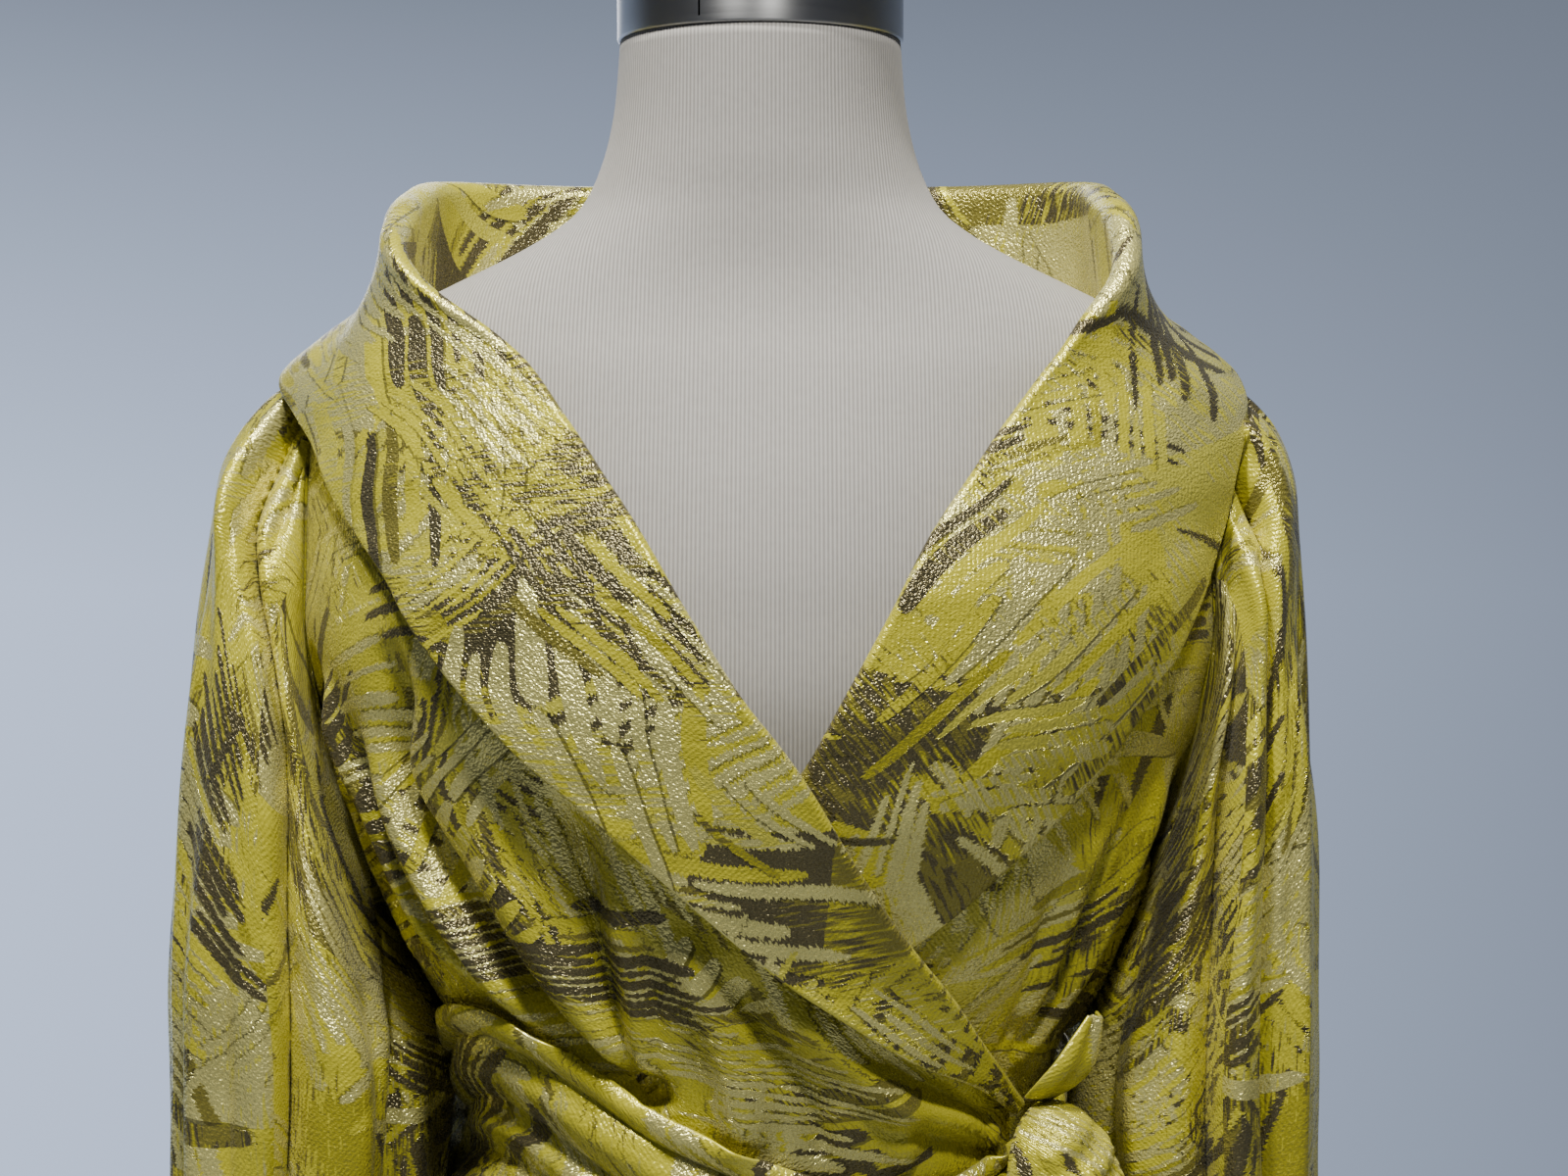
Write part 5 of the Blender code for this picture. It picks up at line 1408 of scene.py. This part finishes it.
LEFT_SLEEVE_FOLDS = rows_of(
    Fold,
    (((60, 0.02), (66, 0.07), (72, 0.12), (74, 0.175)), 0.0048, -0.0138, 0.2, 0.1, 0.35),
    (((46, 0.02), (37, 0.085), (28, 0.14), (26, 0.205)), 0.0062, -0.0168, 0.25, 0.08, 0.3),
    (((54, 0.02), (52, 0.08), (50, 0.14), (50, 0.24)), 0.0062, 0.0115, 0, 0.1, 0.4),
    (((30, 0.02), (20, 0.08), (13, 0.14), (12, 0.24), (10, 0.34)), 0.0058, 0.0068, 0, 0.1, 0.4),
    (((18, 0.16), (16, 0.247), (16, 0.392), (18, 0.522), (20, 0.635), (22, 0.97)), 0.0055, -0.0096,
     0.35, 0.15, 0.1),
    (((-6, 0.15), (-16, 0.27), (-18, 0.392), (-12, 0.502), (-10, 0.571), (-12, 0.64), (-12, 0.97)),
     0.01, -0.018, 0, 0.2, 0.1),
    (((10, 0.03), (-4, 0.09), (-14, 0.15), (-24, 0.25), (-30, 0.4), (-34, 0.474), (-40, 0.56),
     (-42, 0.9)), 0.008, 0.0081, 0, 0.06, 0.2),
    (((2, 0.3), (4, 0.5), (5, 0.9)), 0.007, 0.0054),
    (((-50, 0.18), (-56, 0.3), (-60, 0.5), (-60, 0.94)), 0.008, -0.0084),
    (((-88, 0.3), (-86, 0.6), (-86, 0.9)), 0.014, 0.0041),
    (((86, 0.015), (88, 0.08), (86, 0.2)), 0.0055, -0.0084, 0, 0.08, 0.5),
    (((106, 0.015), (108, 0.09), (108, 0.22)), 0.0065, -0.0084, 0, 0.08, 0.5),
    (((130, 0.015), (128, 0.12), (128, 0.3), (130, 0.95)), 0.015, -0.012, 0, 0.1, 0.1),
    (((154, 0.015), (152, 0.08), (150, 0.2)), 0.0065, -0.0072, 0, 0.08, 0.5),
    (((188, 0.08), (184, 0.3), (186, 0.95)), 0.016, -0.0126),
    (((214, 0.25), (212, 0.5), (208, 0.95)), 0.007, 0.0054),
    (((36, 0.3), (38, 0.48), (36, 0.7), (40, 0.96)), 0.006, 0.0061),
    (((52, 0.26), (50, 0.42), (54, 0.7), (52, 0.95)), 0.0065, -0.006),
    (((74, 0.24), (72, 0.5), (74, 0.95)), 0.012, -0.0072),
    (((92, 0.4), (96, 0.65), (92, 0.96)), 0.007, 0.0054),
    (((158, 0.3), (154, 0.6), (160, 0.96)), 0.007, 0.0054),
)


@dataclass(frozen=True)
class Sleeve:
    """A full sleeve, a tube from the armhole to the cuff, and its cuff."""

    side: Side
    cut: Cut
    cuff_cut: Cut
    cells: tuple[int, int] = (176, 150)
    blend_rows: float = 3.5
    turn_in_deg: float = 1.6
    left_trim: float = 0.0095
    left_back: float = 0.0150
    # How deep the underside is tucked in clear of the body, where round the sleeve, and how wide
    tuck: float = 0.027
    tuck_deg: float = 218.0
    tuck_width_deg: float = 26.0
    length: float = 0.60
    girth: float = 0.45
    ripple: float = 0.0009
    ripple_cell: float = 0.030
    gathers: int = 14
    gather_height: float = 0.0016
    cuff_top_z: float = 0.7972
    cuff_bottom_z: float = 0.7400
    cuff_centre: tuple[float, float] = (0.2400, -0.0200)
    cuff_half_width: float = 0.0295
    cuff_half_depth: float = 0.0375

    @property
    def word(self) -> str:
        """Returns the side's name in piece names."""
        return self.side.name.lower()

    def grid(self) -> Array:
        """Returns the sleeve's rings of points."""
        around, down = self.cells
        turn, share = np.meshgrid(
            np.arange(around) * 360.0 / around, np.linspace(0.0, 1.0, down + 1) ** 1.12
        )
        sign, is_left = self.side.value, self.side is Side.LEFT
        row = read_table(SLEEVE_ROWS, share * (len(SLEEVE_ROWS) - 1))
        trim = self.left_trim * smooth((share - 0.15) / 0.45) * is_left
        back = self.left_back * smooth(share / 0.4) * smooth((1 - share) / 0.3) * is_left
        centre_y = row.centre_y + back
        outer = np.stack([sign * (row.outer_x - trim), centre_y, row.outer_z], axis=-1)
        inner = np.stack([sign * row.inner_x, centre_y, row.inner_z], axis=-1)
        arm, depth = (outer - inner) / 2, row.half_depth[..., None]
        ahead = np.array([0.0, -1.0, 0.0])
        s, c = np.sin(np.radians(turn))[..., None], np.cos(np.radians(turn))[..., None]
        out = unit(unit(arm) * s * depth + ahead * c * np.linalg.norm(arm, axis=-1, keepdims=True))
        folds = LEFT_SLEEVE_FOLDS if is_left else RIGHT_SLEEVE_FOLDS
        lift = fold_lift(folds, turn, share, (self.girth / 360.0, self.length))
        gather = smooth((share - 0.78) / 0.12) * smooth((1.0 - share) / 0.05)
        lift += self.gather_height * gather * np.cos(self.gathers * np.radians(turn))
        across, along = turn / 360.0 * self.girth, share * self.length * 0.35
        ripple = self.ripple * rumple(across, along, self.ripple_cell, 0.9 * sign)
        lift += ripple * smooth(share / 0.10) * smooth((1 - share) / 0.05)
        ring = (outer + inner) / 2 + arm * s + ahead * depth * c + out * lift[..., None]
        inward = self.tuck * bell((turn - self.tuck_deg) / self.tuck_width_deg)
        begun = smooth((share - 0.14) / 0.14)
        if not is_left:
            begun = 0.5 * smooth((share - 0.15) / 0.08) + 0.5 * smooth((share - 0.33) / 0.14)
        ring[..., 0] -= sign * inward * begun * smooth((0.86 - share) / 0.20)
        blend = smooth(share * (len(SLEEVE_ROWS) - 1) / self.blend_rows)[..., None]
        deg, z = armhole_place(turn, self.side)
        deg = deg + sign * self.turn_in_deg * np.cos(np.radians(turn))
        tuck = smooth(share / 0.006)
        edge = bodice_cloth(deg, z, BODY_WALL * 0.6 + (BODY_WALL * 0.4 + LAP_CLEARANCE) * tuck)
        return mix(edge, ring, blend)

    def cuff(self) -> bpy.types.Object:
        """Builds the cuff, a plain band."""
        around, down = 96, 12
        turn, share = np.meshgrid(
            np.arange(around) * 2 * pi / around, np.linspace(0.0, 1.0, down + 1)
        )
        x, y = self.cuff_centre
        grid = np.stack([
            self.side.value * x + self.cuff_half_width * np.sin(turn),
            y - self.cuff_half_depth * np.cos(turn),
            mix(self.cuff_top_z, self.cuff_bottom_z, share),
        ], axis=-1)
        shell = Shell(f"cuff_{self.word}_cloth", CUFF_WALL, closed=True, inside_out=True)
        return finish_cloth(shell.build(grid), self.cuff_cut)

    def build(self) -> list[bpy.types.Object]:
        """Builds the sleeve and its cuff."""
        shell = Shell(
            f"sleeve_{self.word}_cloth", SLEEVE_WALL, closed=True, inside_out=self.side is Side.LEFT,
        )
        sleeve = finish_cloth(shell.build(self.grid()), self.cut)
        return [sleeve, self.cuff()]


# The skirt


class SkirtPanel(NamedTuple):
    """A panel of the skirt between two azimuths."""

    node: str
    start_deg: float
    end_deg: float
    layer: Layer
    cut: Cut


@dataclass(frozen=True)
class Skirt:
    """The floor-length skirt, gathered at the waist and fluted at the hem."""

    panels: tuple[SkirtPanel, ...]
    flutes: int = 12
    flute_at_hem: float = 0.016
    waist_gap: float = 0.0012
    column_deg: float = 1.25
    rows: int = 130
    gather_height: float = 0.0016
    gathers: int = 36
    drape_height: float = 0.0022
    drapes: int = 5

    def point(self, deg: Array, z: Array, rise: Array | float = 0.0) -> Array:
        """Returns points of the skirt with its flutes."""
        share = smooth((WAIST_Z - z) / (WAIST_Z - HEM_Z))
        flute = self.flute_at_hem * share * (1 + np.cos(np.radians(self.flutes * deg))) / 2
        normal = SKIRT.normal(deg, np.maximum(z, 0.01)) * np.array([1.0, 1.0, 0.0])
        return SKIRT.point(deg, z) + unit(normal) * (rise + flute)[..., None]

    def rise(self, layer: Layer, deg: Array, z: Array) -> Array:
        """Returns how far a panel lies outside the skirt's plain surface."""
        share = mix(SKIRT_OVERLAP_SHARE, 1.0, smooth((z - 0.90) / (WAIST_Z - 0.90)))
        return layer.rise(deg) * share

    def panel(self, panel: SkirtPanel) -> bpy.types.Object:
        """Builds one panel."""
        count = round((panel.end_deg - panel.start_deg) / self.column_deg)
        deg, t = np.meshgrid(
            np.linspace(panel.start_deg, panel.end_deg, count + 1), np.linspace(0.0, 1.0, self.rows + 1)
        )
        z = mix(WAIST_Z - self.waist_gap, HEM_Z, t**1.15)
        below = smooth((WAIST_Z - z) / 0.10)
        pleats = 1 + np.sin(np.radians(deg * self.gathers) + 2.0 * np.sin(deg / 9))
        gather = self.gather_height * below * smooth((z - 0.55) / 0.4) * pleats
        swing = 1 + np.sin(np.radians(deg * self.drapes) + 4.0 * t)
        drape = self.drape_height * swing * smooth(t * 3) / 2
        grid = self.point(deg, z, self.rise(panel.layer, deg, z) + gather + drape)
        shell = Shell(f"{panel.node}_cloth", BODY_WALL, inside_out=True, turn_of_cloth=90.0)
        return finish_cloth(shell.build(grid), panel.cut)

    def build(self) -> list[bpy.types.Object]:
        """Builds all the panels."""
        return [self.panel(panel) for panel in self.panels]


# The sash


class SashRow(NamedTuple):
    """The sash's upper and lower edge at one azimuth."""

    deg: float
    top_z: float
    bottom_z: float


class EndRow(NamedTuple):
    """A section of a sash end: its place, half width, and how far it stands off the gown."""

    deg: float
    z: float
    half_width: float
    lift: float
    cup: float


class SashPleat(NamedTuple):
    """A pleat along the sash: its place across the band, half width and height at both ends."""

    start: float
    end: float
    half_width: float
    height: float
    end_height: float


SASH_ROWS = rows_of(
    SashRow,
    (-300, 1.078, 1.01), (-270, 1.09, 1.014), (-225, 1.098, 1.022), (-180, 1.1, 1.026),
    (-135, 1.106, 1.03), (-90, 1.093, 1.026), (-68, 1.109, 1.032), (-50, 1.121, 1.034),
    (-36.6, 1.113, 1.024), (-21.2, 1.0905, 1.008), (-7, 1.0755, 0.997), (8, 1.061, 0.989),
    (26, 1.052, 0.988), (44, 1.062, 0.998), (56, 1.072, 1.006),
)
SASH_PLEATS = rows_of(
    SashPleat,
    (0.06, 0.05, 0.055, 0.003, 0.003), (0.155, 0.13, 0.02, -0.0018, -0.0018),
    (0.34, 0.27, 0.1, 0.0058, 0.0036), (0.5, 0.41, 0.024, -0.0016, -0.0018),
    (0.6, 0.56, 0.06, 0.0034, 0.003), (0.73, 0.72, 0.024, -0.0012, -0.0014),
    (0.88, 0.88, 0.07, 0.0036, 0.003),
)
UPPER_END = rows_of(
    EndRow,
    (49.5, 1.091, 0.008, 0.022, 0.003), (50.2, 1.1, 0.0105, 0.0265, 0.004),
    (51.2, 1.1095, 0.01, 0.028, 0.005), (52.3, 1.1185, 0.0075, 0.0265, 0.004),
    (53.2, 1.126, 0.0035, 0.0245, 0.002),
)
LONG_TAIL = rows_of(
    EndRow,
    (45.5, 1.0118, 0.01, 0.02, 0.003), (44, 0.97, 0.019, 0.017, 0.005), (42.8, 0.9, 0.027, 0.011, 0.005),
    (42, 0.8, 0.031, 0.0085, 0.005), (41.2, 0.68, 0.034, 0.0085, 0.004), (40.5, 0.57, 0.036, 0.009, 0.004),
)
SHORT_TAIL = rows_of(
    EndRow,
    (56, 1.0127, 0.009, 0.018, 0.003), (60.5, 0.97, 0.016, 0.012, 0.004),
    (64.5, 0.9, 0.023, 0.008, 0.0045), (67.5, 0.81, 0.027, 0.007, 0.0045), (69.5, 0.7, 0.03, 0.007, 0.004),
)


@dataclass(frozen=True)
class Sash:
    """The sash: a pleated band, its knot and its three ends."""

    skirt: Skirt
    band_cut: Cut
    end_cuts: tuple[Cut, Cut, Cut]
    clearance: float = 0.0011
    knot_deg: float = 51.0
    knot_cloth_start: float = 0.5
    knot_z: float = 1.048
    knot_half_width: float = 0.0300
    knot_half_height: float = 0.0360
    knot_depth: float = 0.0300
    band_cells: tuple[int, int] = (420, 44)

    def ground(self, deg: Array, z: Array) -> Array:
        """Returns the outermost cloth under the sash."""
        turn = (deg + 180.0) % 360.0 - 180.0
        over = Layer.OVER.rise(turn) * (1 - smooth((turn - 62.0) / 16.0))
        folds = np.where(
            np.abs(turn) >= 90, fold_lift(BACK_FOLDS, turn, z, BODICE_REACH), np.where(
                turn < 62.0, fold_lift(OVER_FOLDS, turn, z, BODICE_REACH),
                fold_lift(UNDER_FOLDS, turn, z, BODICE_REACH),
            ),
        )
        body = np.where((z > WAIST_Z)[..., None], BODICE.point(deg, z), SKIRT.point(deg, z))
        return body + BODICE.normal(deg, 1.09 + 0 * z) * (over + BODY_WALL + folds)[..., None]

    def point(self, deg: Array, v: Array) -> Array:
        """Returns points of the band; v runs from its upper edge to its lower edge."""
        knots = np.array([row.deg for row in SASH_ROWS])
        row = read_table(SASH_ROWS, np.interp(deg, knots, np.arange(len(knots))))
        z = mix(row.top_z, row.bottom_z, v)
        reach = np.max([
            np.linalg.norm(self.ground(deg, z + dz)[..., :2], axis=-1) for dz in (-0.006, 0.0, 0.006)
        ], axis=0)
        radial = unit(BODICE.point(deg, WAIST_Z + 0 * deg) * np.array([1.0, 1.0, 0.0]))
        u = (deg - knots[0]) / (knots[-1] - knots[0])
        wander = 0.012 * np.sin(5.0 * u * 2 * pi + 3.0 * v) * smooth(v * 5)
        pleats = sum(
            mix(pleat.height, pleat.end_height, u)
            * bell((v - mix(pleat.start, pleat.end, u) - wander) / pleat.half_width)
            for pleat in SASH_PLEATS
        )
        rumpled = 0.0005 * rumple(u * 1.0, v * 0.16, 0.03, 2.2)
        grid = radial * (reach + self.clearance + 0.0006 + pleats + rumpled)[..., None]
        grid[..., 2] = z
        return grid

    def band(self) -> bpy.types.Object:
        """Builds the band."""
        across, along = self.band_cells
        deg, v = np.meshgrid(
            np.linspace(SASH_ROWS[0].deg, SASH_ROWS[-1].deg, across + 1), np.linspace(0, 1, along + 1)
        )
        shell = Shell("sash_band_cloth", SASH_WALL, inside_out=True, turn_of_cloth=24.0)
        return finish_cloth(shell.build(self.point(deg, v)), self.band_cut)

    def end(self, node: str, rows: Sequence[EndRow], cut: Cut) -> bpy.types.Object:
        """Builds one loose end."""
        u, v = np.meshgrid(np.linspace(0.0, 1.0, 41), np.linspace(0.0, 1.0, 121))
        row = read_table(rows, v * (len(rows) - 1))
        half = np.degrees(row.half_width / 0.13)
        girth = np.linalg.norm(SKIRT.point(row.deg, row.z)[..., :2], axis=-1)
        half = np.where(row.z < 0.98, half * 0.13 / girth, half)
        deg = row.deg + half * (2 * u - 1)
        pleat = 0.0012 * np.sin(3 * pi * u + 1.5 * v) * smooth(v * 4)
        lift = row.lift + row.cup * (1 - (2 * u - 1) ** 2) + pleat
        rising = rows[-1].z > rows[0].z
        grid = bodice_cloth(deg, row.z, lift) if rising else self.skirt.point(deg, row.z, lift)
        shell = Shell(f"{node}_cloth", SASH_WALL, inside_out=not rising)
        return finish_cloth(shell.build(grid), cut)

    def knot(self) -> bpy.types.Object:
        """Builds the knot, a wrapped lump of cloth."""
        out = BODICE.normal(np.array(self.knot_deg), np.array(WAIST_Z)) * np.array([1.0, 1.0, 0.0])
        out = unit(out)
        sideways = np.array([out[1], -out[0], 0.0])
        near_deg, near_v = np.meshgrid(
            np.minimum(self.knot_deg - 2 + 1.5 * np.arange(-4, 5), SASH_ROWS[-1].deg),
            0.5 + 0.07 * np.arange(-7, 8),
        )
        seat = float((self.point(near_deg, near_v) @ out).max()) + SASH_WALL - 0.0004
        middle = BODICE.point(np.array(self.knot_deg), np.array(self.knot_z))
        centre = out * seat + sideways * float(middle @ sideways)
        centre[2] = self.knot_z
        turn, tilt = np.meshgrid(
            np.arange(120) * 2 * pi / 120, np.linspace(0.02, pi - 0.02, 91)
        )
        across, deep, up = np.sin(tilt) * np.cos(turn), np.sin(tilt) * np.sin(turn), np.cos(tilt)
        wrap = 1 + 0.06 * np.cos(5 * pi * (up + 0.35 * across)) + 0.03 * np.cos(9 * pi * (across - 0.5 * up))
        bulge = self.knot_depth * (np.maximum(deep, -0.05) + 0.05) / 1.05 * wrap
        pinch = 1 - 0.18 * (1 - up * up) * (across > 0) * smooth(across * 3)
        grid = (
            centre + sideways * (self.knot_half_width * across * pinch)[..., None]
            + np.array([0.0, 0.0, self.knot_half_height]) * up[..., None] + out * bulge[..., None]
        )
        thing = JACQUARD.dress(solid("sash_knot_cloth", grid, self.knot_cloth_start))
        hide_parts("sash_knot")
        return thing

    def build(self) -> list[bpy.types.Object]:
        """Builds the band, the knot and the ends."""
        ends = zip(
            ("sash_upper_end", "sash_long_tail", "sash_short_tail"), (UPPER_END, LONG_TAIL, SHORT_TAIL),
            self.end_cuts,
        )
        return [self.band(), self.knot(), *(self.end(node, rows, cut) for node, rows, cut in ends)]


# The studio


@dataclass(frozen=True)
class Lamp:
    """A soft square light, aimed at a point."""

    name: str
    place: tuple[float, float, float]
    aim: tuple[float, float, float]
    size: float
    watts: float
    colour: str

    def build(self) -> None:
        """Makes the light."""
        data = bpy.data.lights.new(self.name, "AREA")
        data.shape, data.size, data.energy = "SQUARE", self.size, self.watts
        data.color = linear(self.colour)[:3]
        thing = bpy.data.objects.new(self.name, data)
        thing.location = self.place
        way = Vector(self.aim) - Vector(self.place)
        thing.rotation_euler = way.to_track_quat("-Z", "Y").to_euler()
        bpy.context.scene.collection.objects.link(thing)


@dataclass(frozen=True)
class Studio:
    """The pale floor, the light and the camera of the photograph's view."""

    camera_place: tuple[float, float, float] = (0.0101, -1.010, 1.285)
    lens_mm: float = 54.1
    sensor_mm: float = 36.0
    # The wall is lighter low on one side and darker towards the other side and the top: painted shade of
    # light falling on it
    wall: str = "c3d4f3"
    wall_shade: str = "5f6673"
    room: str = "37393f"
    glow: float = 1.3
    floor_half: float = 3.8
    # Where the wall fades to its painted shade on one side and at the top, and from the room in front to the
    # wall
    fade_aside: tuple[float, float] = (0.523, -0.338)
    fade_up: tuple[float, float] = (0.30, 0.0)
    fade_front: tuple[float, float] = (0.05, 0.90)
    lamps: tuple[Lamp, ...] = rows_of(
        Lamp,
        ("key", (-0.44, -0.70, 3.12), (0.0, 0.0, 1.25), 0.20, 46.0, "fffcf5"),
        ("front", (0.22, -1.12, 2.90), (0.0, 0.0, 1.20), 0.20, 33.0, "fffcf5"),
        ("top", (-0.1, 0.1, 3.1), (0.0, 0.0, 1.25), 0.7, 2.5, "ffffff"),
        ("back", (-0.5, 2.3, 2.2), (0.0, 0.0, 1.2), 1.2, 14.0, "f6f8ff"),
    )

    def world(self) -> bpy.types.World:
        """Returns a world that is pale behind the gown and darker on the room's side."""
        world = bpy.data.worlds.new("studio")
        world.use_nodes = True
        add = partial(add_node, world.node_tree)
        x, y, z = add("SeparateXYZ", [add("TexCoord").outputs["Generated"]]).outputs
        aside, raised = add("MapRange", [x, *self.fade_aside]), add("MapRange", [z, *self.fade_up])
        lit = add("Math", [aside, raised], operation="MULTIPLY")
        wall = add("Mix", {0: lit, 6: linear(self.wall_shade), 7: linear(self.wall)}, data_type="RGBA")
        front = add("MapRange", [y, *self.fade_front], interpolation_type="SMOOTHSTEP")
        colours = {0: front, 6: linear(self.room), 7: wall.outputs[2]}
        colour = add("Mix", colours, data_type="RGBA").outputs[2]
        feed(world.node_tree, world.node_tree.nodes["Background"], {"Color": colour, "Strength": self.glow})
        return world

    def build(self) -> None:
        """Makes floor, world, lights and camera."""
        half = self.floor_half
        mesh = bpy.data.meshes.new("floor")
        corners = [(-half, -half, 0.0), (half, -half, 0.0), (half, half, 0.0), (-half, half, 0.0)]
        mesh.from_pydata(corners, [], [(0, 1, 2, 3)])
        floor = bpy.data.objects.new("floor", mesh)
        floor.data.materials.append(StudioPaint().material())
        bpy.context.scene.collection.objects.link(floor)
        bpy.context.scene.world = self.world()
        for lamp in self.lamps:
            lamp.build()
        data = bpy.data.cameras.new("camera")
        data.lens, data.sensor_width = self.lens_mm, self.sensor_mm
        camera = bpy.data.objects.new("camera", data)
        camera.location = self.camera_place
        camera.rotation_euler = (pi / 2, 0.0, 0.0)
        bpy.context.scene.collection.objects.link(camera)
        bpy.context.scene.camera = camera


def main() -> None:
    logging.basicConfig(level=logging.INFO, format="%(message)s")
    Studio().build()
    skirt = Skirt((
        SkirtPanel("skirt_back", 90.0, 270.0, Layer.UNDER, Cut(1.10, 1.07, 0.84)),
        SkirtPanel("skirt_front_over", -90.0, 48.0, Layer.OVER, Cut(0.84, 1.07, 0.63)),
        SkirtPanel("skirt_front_under", -42.0, 90.0, Layer.UNDER, Cut(0.80, 1.07, 0.60)),
    ))
    assemblies = (
        DressForm(),
        Bodice(Cut(0.46, 0.38, 0.150), {
            Layer.OVER: Cut(0.34, 0.38, 0.077), Layer.UNDER: Cut(0.32, 0.38, 0.064),
        }),
        CollarHalf(Layer.OVER, Cut(0.62, 0.20, 0.083)),
        CollarHalf(Layer.UNDER, Cut(0.58, 0.20, 0.083)),
        Sleeve(Side.RIGHT, Cut(0.46, 0.58, 0.180), Cut(0.212, 0.058, 0.0122)),
        Sleeve(Side.LEFT, Cut(0.46, 0.58, 0.175), Cut(0.212, 0.058, 0.0122)),
        skirt,
        Sash(
            skirt, Cut(0.86, 0.085, 0.060),
            (Cut(0.048, 0.030, 0.0013), Cut(0.46, 0.072, 0.030), Cut(0.33, 0.060, 0.015)),
        ),
    )
    for assembly in assemblies:
        made = assembly.build()
        pieces = made if isinstance(made, list) else [made]
        LOG.info("%s: %s", type(assembly).__name__, ", ".join(piece.name for piece in pieces))
    bpy.context.view_layer.update()


if __name__ == "__main__":
    main()
